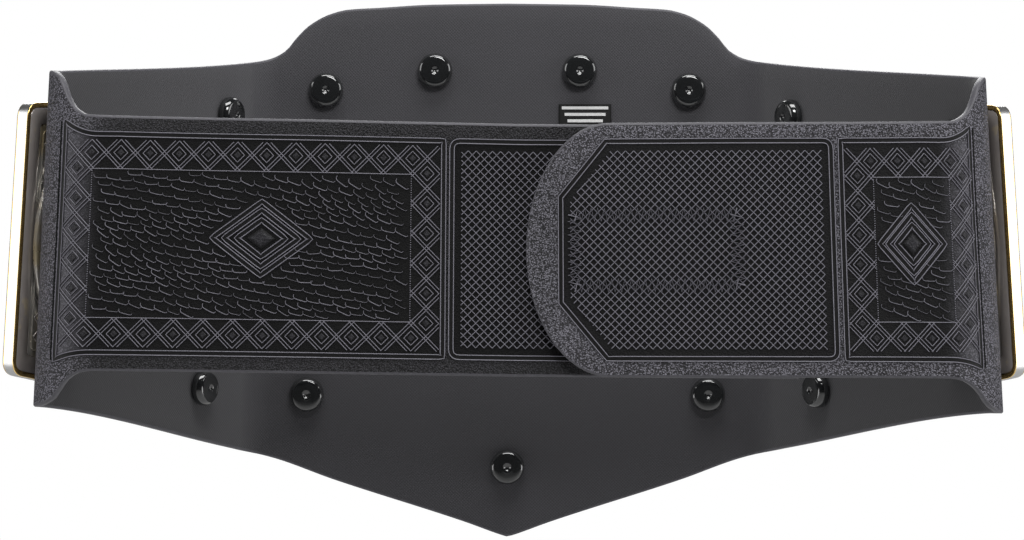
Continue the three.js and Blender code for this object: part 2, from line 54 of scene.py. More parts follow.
# Plan of the closed loop
FRONT_HALF = 92
FRONT_BEND = 14
SIDE_ANGLE = math.radians(58)
SIDE_LENGTH = 118.5
REAR_BEND = 20
TAPER = 0.00028
REAR_SHIFT = 3.9
REAR_ROLL = 0.008

# Heights of the strap's edges
CROWN = 98.2
SHOULDER = 76.2
SIDE_TOP = 64.6
TAIL_TOP = 47.0
REAR_EDGE = 44.8
POINT = 112.6
SHOULDER_LOW = 78.4
SIDE_LOW = 58.2
TAIL_LOW = 44.0

# Overlap of the tails
LAP_FROM_MIDDLE = 2.8
LAP_ROUND = 29.5
UNDER_REACH = 98
PAD_THICK = 2
PAD_WIDTH = 61
PAD_HEIGHT = 26
PAD_FROM_MIDDLE = 16.8
PAD_LIFT = 1.5

# Label
LABEL_WIDTH = 21
LABEL_HEIGHT = 36
LABEL_THICK = 0.6
LABEL_SIDE = 31
LABEL_TOP = 58.4
LABEL_ROWS = 14

# Fastener caps
CAP_RADIUS = 6.9
CAP_HEIGHT = 4.5
CAP_TOP = 4.9
DIMPLE_RADIUS = 1.6
DIMPLE_DEPTH = 0.9
POST_RADIUS = 2.4
POST_IN = 3.2
POST_CLEARANCE = 0.3
BOSS_WALL = 2
SIDE_BOSS_WALL = 1.2
MAIN_CAPS = [
    (0.777, 0.652), (0.31, 0.73), (-0.31, 0.73), (-0.777, 0.652),
    (0.861, -0.498), (-0.861, -0.498), (0, -0.753),
]

# Main plate
MAIN_HALF = 91
MAIN_MARGIN = 9
MAIN_DEPTH = 5
MAIN_FACE = 1.6
MAIN_WALL = 2
MAIN_RIM = 4.5
MAIN_RIM_RISE = 1.4
COIN_RADIUS = 36
MAIN_COIN_RISE = 2.6
MAIN_COIN_LIFT = 4
COIN_BOSS = [(0, 0.3), (0.24, 0.3), (0.24, 0.9), (0.21, 1.04), (0.19, 0.95), (0, 1.0)]
MAIN_RAYS = 96
BAR_GAP = 6
BAR_WIDTH = 13
BAR_RISE = 1.5
BAR_HALF_ANGLE = math.radians(52)
ROSETTE_RADIUS = 8.5
ROSETTE_RISE = 2.2
ROSETTES = [(0.68, 0), (-0.68, 0), (0, -0.72), (0, 0.76)]

# Side plates
PLATE_OVERHANG = 15.4
PLATE_FAR_INSET = 10
PLATE_SLANT = 7
PLATE_NEAR_HALF = 49
PLATE_FAR_HALF = 63
PLATE_CORNER = 5.5
PLATE_DEPTH = 4
PLATE_FACE = 1.4
PLATE_WALL = 1.6
PLATE_RIM = 4
PLATE_RIM_RISE = 1.2
PLATE_PITCH = math.radians(2)
SIDE_CAP_INSET = 12.5
TOP_CAP_EDGE = 6.7
LOW_CAP_EDGE = 10
NEAR_CAP_INSET = 21
NEAR_CAP_EDGE = 12.4
HUB_RADIUS = 50
HUB_THICK = 1.8
HUB_FROM_NEAR = 56.5
BACK_THICK = 1.6
BACK_FLANGE = 6
BACK_RECESS = 0.8
SIDE_COIN_RISE = 2.4
SIDE_RAYS = 90
RAYS_FROM_COIN = 7.5
LAUREL_LEAVES = 40
LAUREL_FROM_COIN = 3.8
LAUREL_SPLAY = 0.5

# Beads in rows: radius and rise, then the pitch
MAIN_BEAD = (1.15, 1.2)
MAIN_BEAD_PITCH = 2.8
SIDE_BEAD = (1.0, 1.0)
SIDE_BEAD_PITCH = 2.6
COIN_BEAD = (0.95, 0.6)
COIN_BEAD_PITCH = 2.6
BEAD_SIDES = 10

# Derived places along the plan
SIDE_START = FRONT_HALF + FRONT_BEND * SIDE_ANGLE
SIDE_END = SIDE_START + SIDE_LENGTH
BEND_LENGTH = REAR_BEND * (math.pi - SIDE_ANGLE)
REAR_START = SIDE_END + BEND_LENGTH
X1 = FRONT_HALF + FRONT_BEND * math.sin(SIDE_ANGLE)
Y1 = -FRONT_BEND * (1 - math.cos(SIDE_ANGLE))
X3 = X1 + SIDE_LENGTH * math.cos(SIDE_ANGLE) - REAR_BEND * math.sin(SIDE_ANGLE)
Y3 = Y1 - SIDE_LENGTH * math.sin(SIDE_ANGLE) - REAR_BEND * (1 + math.cos(SIDE_ANGLE))
HALF_DEPTH = -Y3 / 2
LOOP_HALF = REAR_START + X3
LAP_END = LOOP_HALF - LAP_FROM_MIDDLE
LAP_OUT = WALL + PAD_THICK + 2 * GAP
TAIL_FROM = SIDE_END + 1.15 * BEND_LENGTH

# Upper and lower edge as rows of place, two heights and the share from the first to the second
TOP_ROWS = [
    (0, CROWN, CROWN, 0),
    (0.33 * FRONT_HALF, SHOULDER, CROWN, 0.98),
    (0.56 * FRONT_HALF, SHOULDER, CROWN, 0.925),
    (0.7 * FRONT_HALF, SHOULDER, CROWN, 0.89),
    (0.78 * FRONT_HALF, SHOULDER, CROWN, 0.81),
    (0.87 * FRONT_HALF, SHOULDER, CROWN, 0.61),
    (0.925 * FRONT_HALF, SHOULDER, CROWN, 0.39),
    (0.973 * FRONT_HALF, SHOULDER, CROWN, 0.15),
    (1.035 * FRONT_HALF, SHOULDER, CROWN, 0.015),
    (1.11 * FRONT_HALF, SIDE_TOP, SHOULDER, 0.9),
    (SIDE_END, SIDE_TOP, SIDE_TOP, 0),
    (SIDE_END + 0.45 * BEND_LENGTH, TAIL_TOP, SIDE_TOP, 0.92),
    (SIDE_END + 0.6 * BEND_LENGTH, TAIL_TOP, SIDE_TOP, 0.77),
    (SIDE_END + 0.655 * BEND_LENGTH, TAIL_TOP, SIDE_TOP, 0.57),
    (SIDE_END + 0.71 * BEND_LENGTH, TAIL_TOP, SIDE_TOP, 0.34),
    (SIDE_END + 0.78 * BEND_LENGTH, TAIL_TOP, SIDE_TOP, 0.14),
    (SIDE_END + 0.9 * BEND_LENGTH, TAIL_TOP, TAIL_TOP, 0),
    (REAR_START + 0.6 * (LOOP_HALF - REAR_START), REAR_EDGE, TAIL_TOP, 0.38),
    (LOOP_HALF, REAR_EDGE, REAR_EDGE, 0),
]
LOW_ROWS = [
    (0, -POINT, -POINT, 0),
    (0.03 * FRONT_HALF, -SHOULDER_LOW, -POINT, 0.975),
    (0.18 * FRONT_HALF, -SHOULDER_LOW, -POINT, 0.825),
    (0.73 * FRONT_HALF, -SHOULDER_LOW, -POINT, 0.335),
    (0.985 * FRONT_HALF, -SHOULDER_LOW, -POINT, 0.085),
    (1.12 * FRONT_HALF, -SHOULDER_LOW, -SHOULDER_LOW, 0),
    (1.26 * FRONT_HALF, -SIDE_LOW, -SHOULDER_LOW, 0.885),
    (SIDE_END, -SIDE_LOW, -SIDE_LOW, 0),
    (SIDE_END + 0.5 * BEND_LENGTH, -TAIL_LOW, -SIDE_LOW, 0.9),
    (SIDE_END + 0.68 * BEND_LENGTH, -TAIL_LOW, -SIDE_LOW, 0.72),
    (SIDE_END + 0.76 * BEND_LENGTH, -TAIL_LOW, -SIDE_LOW, 0.43),
    (SIDE_END + 0.83 * BEND_LENGTH, -TAIL_LOW, -SIDE_LOW, 0.2),
    (SIDE_END + 0.91 * BEND_LENGTH, -TAIL_LOW, -SIDE_LOW, 0.05),
    (SIDE_END + 1.02 * BEND_LENGTH, -TAIL_LOW, -TAIL_LOW, 0),
    (LOOP_HALF, -REAR_EDGE, -REAR_EDGE, 0),
]


def smoothstep(x, low, high):
    t = np.clip((x - low) / (high - low), 0, 1)
    return t * t * (3 - 2 * t)


def through_rows(rows, s):
    """Smooth curve through the rows at every s, without overshoot."""
    at = np.array([row[0] for row in rows], float)
    height = np.array([low + (high - low) * share for _, low, high, share in rows])
    slope = np.diff(height) / np.diff(at)
    tangent = np.concatenate([slope[:1], np.zeros(len(at) - 2), slope[-1:]])
    product = slope[:-1] * slope[1:]
    same_way = product > 0
    tangent[1:-1][same_way] = (2 * product[same_way]) / (slope[:-1] + slope[1:])[same_way]
    s = np.clip(np.asarray(s, float), at[0], at[-1])
    k = np.clip(np.searchsorted(at, s, side="left") - 1, 0, len(at) - 2)
    span = at[k + 1] - at[k]
    t = (s - at[k]) / span
    start = height[k] * (1 + 2 * t) * (1 - t) ** 2 + tangent[k] * span * t * (1 - t) ** 2
    return start + height[k + 1] * t * t * (3 - 2 * t) - tangent[k + 1] * span * t * t * (1 - t)


def loop_plan(s):
    """Point and outward direction of the strap's middle layer in plan, for every s."""
    s = np.asarray(s, float)
    side = np.where(s < 0, -1.0, 1.0)
    along = np.abs(s)
    side = np.where(along > LOOP_HALF, -side, side)
    along = np.where(along > LOOP_HALF, 2 * LOOP_HALF - along, along)
    bounds = [along <= FRONT_HALF, along <= SIDE_START, along <= SIDE_END, along <= REAR_START]
    turn_front = (along - FRONT_HALF) / FRONT_BEND
    turn_rear = SIDE_ANGLE + (along - SIDE_END) / REAR_BEND
    turn = np.select(bounds, [0 * along, turn_front, 0 * along + SIDE_ANGLE, turn_rear], math.pi)
    on = along - SIDE_START
    x = np.select(
        bounds,
        [along, FRONT_HALF + FRONT_BEND * np.sin(turn), X1 + on * math.cos(SIDE_ANGLE),
         X3 + REAR_BEND * np.sin(turn)],
        X3 - (along - REAR_START),
    )
    y = np.select(
        bounds,
        [0 * along, FRONT_BEND * (np.cos(turn) - 1), Y1 - on * math.sin(SIDE_ANGLE),
         Y3 + REAR_BEND * (1 + np.cos(turn))],
        Y3,
    )
    return side * x, HALF_DEPTH + y, side * np.sin(turn), np.cos(turn)


def ripple(s, z):
    """The soft strap isn't dead flat: a low wave on the tails and the rear bends."""
    along = np.abs(np.asarray(s, float))
    soft = smoothstep(along, SIDE_END, REAR_START)
    wave = 0.34 * np.sin(along / 17.0 + 0.9 * np.sign(s) + z / 41.0) + 0.22 * np.sin(along / 8.3 - z / 19.0)
    return soft * wave


def place(s, z, out):
    """Points of the belt at arc length s, height z and distance out from the strap's middle layer."""
    px, py, nx, ny = loop_plan(s)
    scale = 1 - TAPER * z
    x = (px + nx * out) * scale
    y = (py + ny * out) * scale
    nearness = (HALF_DEPTH - y) / (2 * HALF_DEPTH)
    return np.stack(np.broadcast_arrays(x + REAR_SHIFT * nearness, y, z - REAR_ROLL * x * nearness), axis=-1)


def layer_out(s):
    """How far out the strap's middle layer lies: the overlapping tail rides over the pad."""
    s = np.asarray(s, float)
    rise = smoothstep(s, SIDE_END, REAR_START + 0.1 * X3)
    settle = smoothstep(s, LAP_END - LAP_ROUND / 2, LAP_END)
    return rise * (LAP_OUT + (WALL + GAP - LAP_OUT) * settle)


def strap_edges(s):
    along = np.abs(np.asarray(s, float))
    past = np.clip((s - (LAP_END - LAP_ROUND)) / LAP_ROUND, 0, 1)
    share = np.sqrt(1 - past ** 2)
    return through_rows(TOP_ROWS, along) * share, through_rows(LOW_ROWS, along) * share


def wrap(points, tail):
    """Points drawn flat as (x, v, height above the leather), laid on the outer face of a tail.

    x runs to the right from the rear middle as seen from behind. tail is -1 for the under tail, which comes
    round the left, and 1 for the tail that overlaps it.
    """
    along = LOOP_HALF - tail * points[:, 0]
    along = np.where(along < REAR_START, REAR_START - (REAR_START - along) * bend_stretch(tail), along)
    level = np.maximum(along, TAIL_FROM)
    top, low = through_rows(TOP_ROWS, level), through_rows(LOW_ROWS, level)
    z = (top + low) / 2 + points[:, 1] * (top - low) / (2 * REAR_EDGE)
    s = tail * along
    return place(s, z, layer_out(s) + WALL / 2 + points[:, 2] + ripple(s, z))


def bend_stretch(tail):
    """How much shorter the middle layer is than the outer face round a rear bend."""
    return REAR_BEND / (REAR_BEND + WALL / 2 + (LAP_OUT if tail > 0 else 0))


def unwrap(s, z):
    """Where points of the strap lie in the flat tooling drawing of their tail."""
    along = np.abs(s)
    tail = np.where(s < 0, -1, 1)
    stretch = np.where(s < 0, bend_stretch(-1), bend_stretch(1))
    drawn = np.where(along < REAR_START, REAR_START - (REAR_START - along) / stretch, along)
    level = np.maximum(along, TAIL_FROM)
    top, low = through_rows(TOP_ROWS, level), through_rows(LOW_ROWS, level)
    return tail * (LOOP_HALF - drawn), (z - (top + low) / 2) * 2 * REAR_EDGE / (top - low)


class Face:
    """A flat frame on the strap's outer face at s: x across, y up and z outwards."""

    def __init__(self, s, reach, pitch=0.0):
        self.origin = place(s, 0, WALL / 2)
        up = place(s, reach, WALL / 2) - place(s, -reach, WALL / 2)
        across = place(s - reach / 2, 0, WALL / 2) - place(s + reach / 2, 0, WALL / 2)
        outward = np.cross(across, up)
        outward /= np.linalg.norm(outward)
        up /= np.linalg.norm(up)
        across = np.cross(up, outward)
        turn = np.array([
            [math.cos(pitch), math.sin(pitch), 0],
            [-math.sin(pitch), math.cos(pitch), 0],
            [0, 0, 1],
        ])
        self.axes = turn @ np.array([across, up, outward])

    def to_belt(self, points):
        return self.origin + np.asarray(points, float) @ self.axes


# Tooling of the tails, in the flat: x to the right of the rear middle, v up a strap of nominal height
FRAME_HALF = 38.2
HATCH_PITCH = 2.9
HATCH_INSET = 3.4
LINE_PAIR = 0.72
LOZENGE_REACH = 5.65
LOZENGE_CLIP = 4.6
LOZENGE_STUD = 1.5
LOZENGE_RING = 2.5
FLARE_RUN = 13
FLARE_TOP = 4.6
FLARE_LOW = 2.8
GROOVE_OUT = 2.1
DOT = (0.3, 0.26)
DOT_PITCH = 0.8
DOT_SIDES = 6
TAIL_APART = 500

# A lozenge panel: its tail, the frame's ends, the middles of its end columns, how many lozenges lie along it
# and up it, and the height of its rows
LOZENGE_PANELS = {
    "left": {
        "tail": -1, "ends": (-163.3, -26.5), "columns": (-157.6, -32.4), "along": 12, "up": 6, "row": 31.7,
    },
    "right": {
        "tail": 1, "ends": (114.6, 163.6), "columns": (120.3, 159.0), "along": 4, "up": 6, "row": 30.9,
    },
}
HATCH_LEFT = (-23.6, 16.6)
HATCH_RUN_UNDER = 50
HATCH_RIGHT = (14.9, 111.2)
CHAMFER_LOW, CHAMFER_HIGH, CHAMFER_END = -18.6, 18.6, 31.0
STITCH_BOX = (16.8, 77.2, -12.4, 12.4)

# Profiles across a line of tooling, as (across, height)
THIN_LINE = [(-0.36, -0.12), (-0.13, 0.28), (0, 0.38), (0.13, 0.28), (0.36, -0.12)]
HATCH_LINE = [(-0.42, -0.12), (-0.12, 0.36), (0, 0.48), (0.12, 0.36), (0.42, -0.12)]
MOULDING = [
    (-1.15, -0.12), (-0.95, 0.36), (-0.82, 0.46), (-0.68, 0.38), (-0.5, 0.1),
    (0.5, 0.1), (0.68, 0.38), (0.82, 0.46), (0.95, 0.36), (1.15, -0.12),
]
WEAVE_LINE = [(-0.6, -0.05), (-0.55, 0.1), (0.55, 0.1), (0.6, -0.05)]
GROOVE_LINE = [(-0.42, -0.05), (-0.36, 0.05), (0.36, 0.05), (0.42, -0.05)]
THREAD_SIDES = 6
THREAD = [
    (0.24 * math.cos(2 * math.pi * k / THREAD_SIDES), 0.14 + 0.24 * math.sin(2 * math.pi * k / THREAD_SIDES))
    for k in range(THREAD_SIDES)
]


class Wire:
    """A socket in a node tree. Arithmetic on it adds Math nodes."""

    def __init__(self, graph, socket):
        self.graph = graph
        self.socket = socket

    def math(self, operation, *others):
        values = dict(enumerate([self, *others]))
        return self.graph.node("ShaderNodeMath", {"operation": operation}, values)

    def __add__(self, other):
        return self.math("ADD", other)

    def __sub__(self, other):
        return self.math("SUBTRACT", other)

    def __mul__(self, other):
        return self.math("MULTIPLY", other)

    def __rsub__(self, other):
        return (self * -1.0).math("ADD", other)

    def __abs__(self):
        return self.math("ABSOLUTE")

    __radd__ = __add__
    __rmul__ = __mul__

    def ease(self, low, high):
        """0 below low, 1 above high and smooth between them."""
        settings = {"interpolation_type": "SMOOTHSTEP"}
        return self.graph.node("ShaderNodeMapRange", settings, {0: self, 1: low, 2: high, 3: 0.0, 4: 1.0})


class Graph:
    """A node tree that is filled by node(kind, settings, values)."""

    def __init__(self, tree):
        self.tree = tree

    def node(self, kind, settings=None, values=None, out=0):
        made = self.tree.nodes.new(kind)
        for name, value in (settings or {}).items():
            setattr(made, name, value)
        for name, value in (values or {}).items():
            socket = made.inputs[name]
            if isinstance(value, Wire):
                self.tree.links.new(value.socket, socket)
            else:
                socket.default_value = value
        return Wire(self, made.outputs[out]) if made.outputs else None

    def blend(self, share, first, second):
        """A colour from first to second."""
        return self.node("ShaderNodeMix", {"data_type": "RGBA"}, {0: share, 6: first, 7: second}, out=2)

    def noise(self, where, scale, detail=3.0, roughness=0.55):
        values = {"Vector": where, "Scale": scale, "Detail": detail, "Roughness": roughness}
        return self.node("ShaderNodeTexNoise", None, values)

    def cells(self, where, scale, feature="F1"):
        return self.node("ShaderNodeTexVoronoi", {"feature": feature}, {"Vector": where, "Scale": scale})

    def bump(self, height, distance, strength=1.0):
        values = {"Height": height, "Distance": distance, "Strength": strength}
        return self.node("ShaderNodeBump", None, values)

    def along_and_up(self, where):
        """The first two parts of a place."""
        along = self.node("ShaderNodeSeparateXYZ", None, {0: where})
        return along, Wire(self, along.socket.node.outputs[1])


def grey(level, warmth=0.0):
    return (level * (1 + warmth), level, level * (1 - warmth), 1.0)


def ink(level):
    """A dark tone with the faint violet cast of the leather."""
    return (level, level * 0.97, level * 1.13, 1.0)


def finish_of(name, build):
    """A material whose surface is what build(graph, shader values) fills in."""
    made = bpy.data.materials.new(name)
    made.use_nodes = True
    made.node_tree.nodes.clear()
    graph = Graph(made.node_tree)
    values = build(graph)
    surface = graph.node("ShaderNodeBsdfPrincipled", None, values)
    graph.node("ShaderNodeOutputMaterial", None, {"Surface": surface})
    return made


def strap_place(graph):
    """Metres along and up the strap."""
    return graph.node("ShaderNodeUVMap", {"uv_map": "StrapPlace"})


def own_place(graph):
    return graph.node("ShaderNodeTexCoord", out="Object")


def grain(graph, where):
    """Fine pebbles and wrinkles of imitation leather, from 0 in the pits to 1 on the pebbles."""
    pebbles = graph.cells(where, 1700.0)
    wrinkles = graph.noise(where, 1350.0, 2.0, 0.6)
    return (1.0 - pebbles * 1.3) * 0.55 + wrinkles * 0.55


def panel_depth(graph, x, v, left, right, half, chamfer=None):
    """How far inside a tooled panel a place lies, in metres."""
    depth = (x - left * MM).math("MINIMUM", right * MM - x).math("MINIMUM", half * MM - abs(v))
    if chamfer is None:
        return depth
    (near, low), (far, high) = chamfer
    slope = (high - low) / (far - near)
    reach = math.hypot(1, slope)
    return depth.math("MINIMUM", ((x - near * MM) * slope + low * MM - abs(v)) * (1 / reach))


def inside_panels(graph):
    """1 in the dark fields of the tooled panels, whose dark is partly painted shade of their sunk cells."""
    where = graph.node("ShaderNodeUVMap", {"uv_map": "TailPlace"})
    x, v = graph.along_and_up(where)
    depth = None
    for panel in LOZENGE_PANELS.values():
        shift = TAIL_APART * panel["tail"]
        here = panel_depth(graph, x, v, panel["ends"][0] + shift, panel["ends"][1] + shift, FRAME_HALF)
        depth = here if depth is None else depth.math("MAXIMUM", here)
    left, right = HATCH_LEFT[0] - TAIL_APART, HATCH_LEFT[1] + HATCH_RUN_UNDER - TAIL_APART
    under = panel_depth(graph, x, v, left, right, FRAME_HALF)
    chamfer = [(HATCH_RIGHT[0] + TAIL_APART, CHAMFER_HIGH), (CHAMFER_END + TAIL_APART, FRAME_HALF)]
    ends = [end + TAIL_APART for end in HATCH_RIGHT]
    over = panel_depth(graph, x, v, *ends, FRAME_HALF, chamfer)
    return depth.math("MAXIMUM", under).math("MAXIMUM", over).ease(-0.0012, 0.0006)


def outer_leather(graph):
    """Grained imitation leather, dark and smooth in the tooled panels. The dark there is partly painted shade
    of sunk cells; painted shade darkens the under tail and a painted sheen lightens the rear bends.
    """
    where = strap_place(graph)
    relief = grain(graph, where)
    slow = graph.noise(where, 26.0, 2.0)
    field = inside_panels(graph)
    along = graph.along_and_up(where)[0]
    # Painted shade: the leather of the under tail is painted darker, fading out over the end of its rear
    # bend.
    under = 1.0 - along.ease(-(REAR_START + 5) * MM, -(REAR_START - 12) * MM)
    # Painted sheen: on the rear bends the dark fields are painted lighter, a painted reflection of the side
    # lights.
    bend_sheen = 1.0 - abs(along).ease((REAR_START - 10) * MM, (REAR_START + 1) * MM)
    shade = (relief.ease(0.35, 0.75) * 0.85 + slow * 0.15) * (1.0 - under * 0.84)
    open_grain = graph.blend(shade, ink(0.003), ink(0.21))
    # The pressed fields' near black is their own darker tone and partly painted shade of the sunk cells that
    # the flat field stands for.
    pressed = graph.blend(shade, ink(0.0012), ink(0.005))
    painted_bend_sheen = graph.blend(shade, ink(0.04), ink(0.13))
    dark = graph.blend(bend_sheen * 0.9, pressed, painted_bend_sheen)
    rough = slow * 0.1 + relief * 0.1 + 0.38
    return {
        "Base Color": graph.blend(field, open_grain, dark),
        "Roughness": rough + field * (0.28 - bend_sheen * 0.22) + under * 0.08,
        "Specular IOR Level": 0.25,
        "Normal": graph.bump(relief * (1.0 - field * 0.6), 0.0007, 1.0),
    }


def crest_of(graph):
    """0 at the foot of a tooled line and 1 on its crest."""
    return graph.node("ShaderNodeAttribute", {"attribute_name": "crest"}, out="Fac")


def tooled_leather(graph):
    """Pressed lines: painted shade makes them dark at the foot and a painted highlight makes them light on
    the crest.
    """
    where = own_place(graph)
    relief = grain(graph, where)
    painted_crest_light = crest_of(graph).ease(0.45, 1.0) * (0.75 + relief * 0.25)
    return {
        "Base Color": graph.blend(painted_crest_light, ink(0.0015), ink(0.2)),
        "Roughness": 0.6 - painted_crest_light * 0.2,
        "Specular IOR Level": 0.25,
        "Normal": graph.bump(relief, 0.00015, 0.5),
    }


def pressed_leather(graph):
    """The low studs and steps of the tooling, almost as dark as the field round them, with a painted
    highlight on the crest.
    """
    where = own_place(graph)
    relief = grain(graph, where)
    painted_crest_light = crest_of(graph).ease(0.3, 1.0) * relief
    return {
        "Base Color": graph.blend(painted_crest_light, ink(0.002), ink(0.04)),
        "Roughness": 0.55 - painted_crest_light * 0.1,
        "Specular IOR Level": 0.2,
        "Normal": graph.bump(relief, 0.0003, 0.7),
    }


def groove_leather(graph):
    """The bottom of a pressed groove, painted near black as the shade in it."""
    relief = grain(graph, own_place(graph))
    return {
        "Base Color": graph.blend(relief, ink(0.0008), ink(0.003)),
        "Roughness": relief * 0.1 + 0.7,
        "Specular IOR Level": 0.1,
    }


def woven_lining(graph):
    where = strap_place(graph)
    along, up = graph.along_and_up(where)
    thread = 5200.0
    weft = (along * thread).math("SINE")
    warp = (up * thread).math("SINE")
    weave = weft * warp
    fuzz = graph.noise(where, 1500.0, 2.0, 0.7)
    slow = graph.noise(where, 18.0, 3.0)
    relief = weave * 0.35 + fuzz
    # Painted shade: the lining is painted darker from the sides round to the rear, and in a band below the
    # rear tail where its shadow falls, lighter again towards the point.
    sides = abs(along).ease(SIDE_START * MM, SIDE_END * MM)
    middle = up.ease(-0.07, 0.03) * 0.32 + (1.0 - up.ease(-0.105, -0.07)) * 0.5 + 0.68
    shade = (relief.ease(0.1, 0.9) * 0.6 + slow * 0.4) * middle * (1.0 - sides * 0.6)
    return {
        "Base Color": graph.blend(shade, ink(0.014), ink(0.05)),
        "Roughness": slow * 0.15 + 0.62,
        "Sheen Weight": 0.25,
        "Sheen Roughness": 0.5,
        "Normal": graph.bump(relief, 0.00012, 0.6),
    }


def cut_edge(graph):
    where = own_place(graph)
    fibre = graph.noise(where, 900.0, 3.0, 0.7)
    return {
        "Base Color": graph.blend(fibre, ink(0.03), ink(0.09)),
        "Roughness": fibre * 0.2 + 0.45,
        "Normal": graph.bump(fibre, 0.0001, 0.5),
    }


def gloss_black(graph):
    where = own_place(graph)
    haze = graph.noise(where, 160.0, 3.0)
    return {
        "Base Color": graph.blend(haze, grey(0.006, -0.05), grey(0.014, -0.08)),
        "Roughness": haze * 0.08 + 0.07,
        "Coat Weight": 1.0,
        "Coat Roughness": 0.04,
        "Normal": graph.bump(haze, 0.00005, 0.15),
    }


def gold_plated(graph):
    where = own_place(graph)
    slow = graph.noise(where, 35.0, 3.0)
    fine = graph.noise(where, 1400.0, 2.0, 0.7)
    return {
        "Base Color": graph.blend(slow, (0.72, 0.47, 0.14, 1), (0.93, 0.68, 0.27, 1)),
        "Metallic": 1.0,
        "Roughness": slow * 0.12 + fine * 0.06 + 0.1,
        "Normal": graph.bump(slow, 0.0002, 0.1),
    }


def hammered_gold(graph):
    where = own_place(graph)
    dents = graph.cells(where, 420.0, "SMOOTH_F1")
    slow = graph.noise(where, 30.0, 3.0)
    return {
        "Base Color": graph.blend(dents, (0.50, 0.31, 0.08, 1), (0.85, 0.60, 0.22, 1)),
        "Metallic": 1.0,
        "Roughness": slow * 0.15 + 0.25,
        "Normal": graph.bump(dents, 0.0006, 0.7),
    }


def silver_plated(graph):
    where = own_place(graph)
    slow = graph.noise(where, 40.0, 3.0)
    return {
        "Base Color": graph.blend(slow, grey(0.55), grey(0.72)),
        "Metallic": 1.0,
        "Roughness": slow * 0.14 + 0.1,
        "Normal": graph.bump(slow, 0.0002, 0.1),
    }


def satin_silver(graph):
    """The polished wall round a side plate, brushed by handling."""
    slow = graph.noise(own_place(graph), 40.0, 3.0)
    return {
        "Base Color": graph.blend(slow, grey(0.42), grey(0.55)),
        "Metallic": 1.0,
        "Roughness": slow * 0.1 + 0.3,
        "Normal": graph.bump(slow, 0.0002, 0.1),
    }


def dark_enamel(graph):
    where = own_place(graph)
    swirl = graph.noise(where, 90.0, 4.0, 0.6)
    return {
        "Base Color": graph.blend(swirl, (0.008, 0.008, 0.012, 1), (0.03, 0.03, 0.045, 1)),
        "Roughness": swirl * 0.1 + 0.12,
        "Coat Weight": 0.8,
        "Coat Roughness": 0.05,
        "Normal": graph.bump(swirl, 0.0001, 0.2),
    }


def smoky_clear(graph):
    """Smoky clear moulding over metallised relief: grey with faint gold and silver tints."""
    where = own_place(graph)
    slow = graph.noise(where, 60.0, 3.0)
    tint = graph.noise(where, 140.0, 2.0)
    base = graph.blend(slow, (0.17, 0.15, 0.14, 1), (0.36, 0.33, 0.31, 1))
    return {
        "Base Color": graph.blend(tint.ease(0.6, 0.75) * 0.5, base, (0.45, 0.36, 0.2, 1)),
        "Metallic": 0.3,
        "Roughness": slow * 0.15 + 0.16,
        "Coat Weight": 1.0,
        "Coat Roughness": 0.05,
        "Normal": graph.bump(tint, 0.0005, 0.3),
    }


def bright_smoky(graph):
    """The recess and the raised edges of the smoky moulding, where the metallising shows through."""
    where = own_place(graph)
    slow = graph.noise(where, 90.0, 3.0)
    gilt = graph.noise(where, 45.0, 2.0).ease(0.45, 0.62)
    pale = graph.blend(slow, (0.55, 0.52, 0.47, 1), (0.95, 0.92, 0.87, 1))
    return {
        "Base Color": graph.blend(gilt * 0.7, pale, (0.72, 0.58, 0.30, 1)),
        "Metallic": 0.7,
        "Roughness": slow * 0.2 + 0.15,
        "Coat Weight": 1.0,
        "Normal": graph.bump(slow, 0.0002, 0.2),
    }


def hub_plastic(graph):
    where = own_place(graph)
    slow = graph.noise(where, 50.0, 3.0)
    return {
        "Base Color": graph.blend(slow, grey(0.018), grey(0.04)),
        "Roughness": slow * 0.2 + 0.25,
        "Normal": graph.bump(slow, 0.0003, 0.2),
    }


def tape_weave(graph):
    where = own_place(graph)
    fibre = graph.noise(where, 2600.0, 2.0, 0.7)
    slow = graph.noise(where, 90.0, 2.0)
    return {
        "Base Color": graph.blend(fibre * 0.6 + slow * 0.4, grey(0.003), grey(0.009)),
        "Roughness": slow * 0.15 + 0.6,
        "Specular IOR Level": 0.15,
        "Normal": graph.bump(fibre, 0.0001, 0.6),
    }


def black_thread(graph):
    where = own_place(graph)
    twist = graph.noise(where, 2200.0, 2.0, 0.6)
    return {
        "Base Color": graph.blend(twist, ink(0.09), ink(0.2)),
        "Roughness": twist * 0.2 + 0.4,
        "Normal": graph.bump(twist, 0.0001, 0.5),
    }


def pale_thread(graph):
    """The label's plain woven lines."""
    where = own_place(graph)
    fibre = graph.noise(where, 2600.0, 2.0, 0.7)
    return {
        "Base Color": graph.blend(fibre, grey(0.45), grey(0.8)),
        "Roughness": fibre * 0.2 + 0.6,
        "Normal": graph.bump(fibre, 0.0001, 0.6),
    }


def pale_floor(graph):
    where = own_place(graph)
    slow = graph.noise(where, 3.0, 2.0)
    return {"Base Color": graph.blend(slow, grey(0.46), grey(0.5)), "Roughness": slow * 0.1 + 0.75}


FINISHES = {
    "outer": finish_of("grained_leather", outer_leather),
    "tooled": finish_of("tooled_leather", tooled_leather),
    "pressed": finish_of("pressed_leather", pressed_leather),
    "groove": finish_of("groove_leather", groove_leather),
    "lining": finish_of("woven_lining", woven_lining),
    "edge": finish_of("cut_edge", cut_edge),
    "cap": finish_of("gloss_black", gloss_black),
    "gold": finish_of("gold_plated", gold_plated),
    "hammered": finish_of("hammered_gold", hammered_gold),
    "silver": finish_of("silver_plated", silver_plated),
    "satin": finish_of("satin_silver", satin_silver),
    "enamel": finish_of("dark_enamel", dark_enamel),
    "smoky": finish_of("smoky_clear", smoky_clear),
    "bright": finish_of("bright_smoky", bright_smoky),
    "hub": finish_of("hub_plastic", hub_plastic),
    "tape": finish_of("tape_weave", tape_weave),
    "thread": finish_of("black_thread", black_thread),
    "pale_thread": finish_of("pale_thread", pale_thread),
    "floor": finish_of("pale_floor", pale_floor),
}


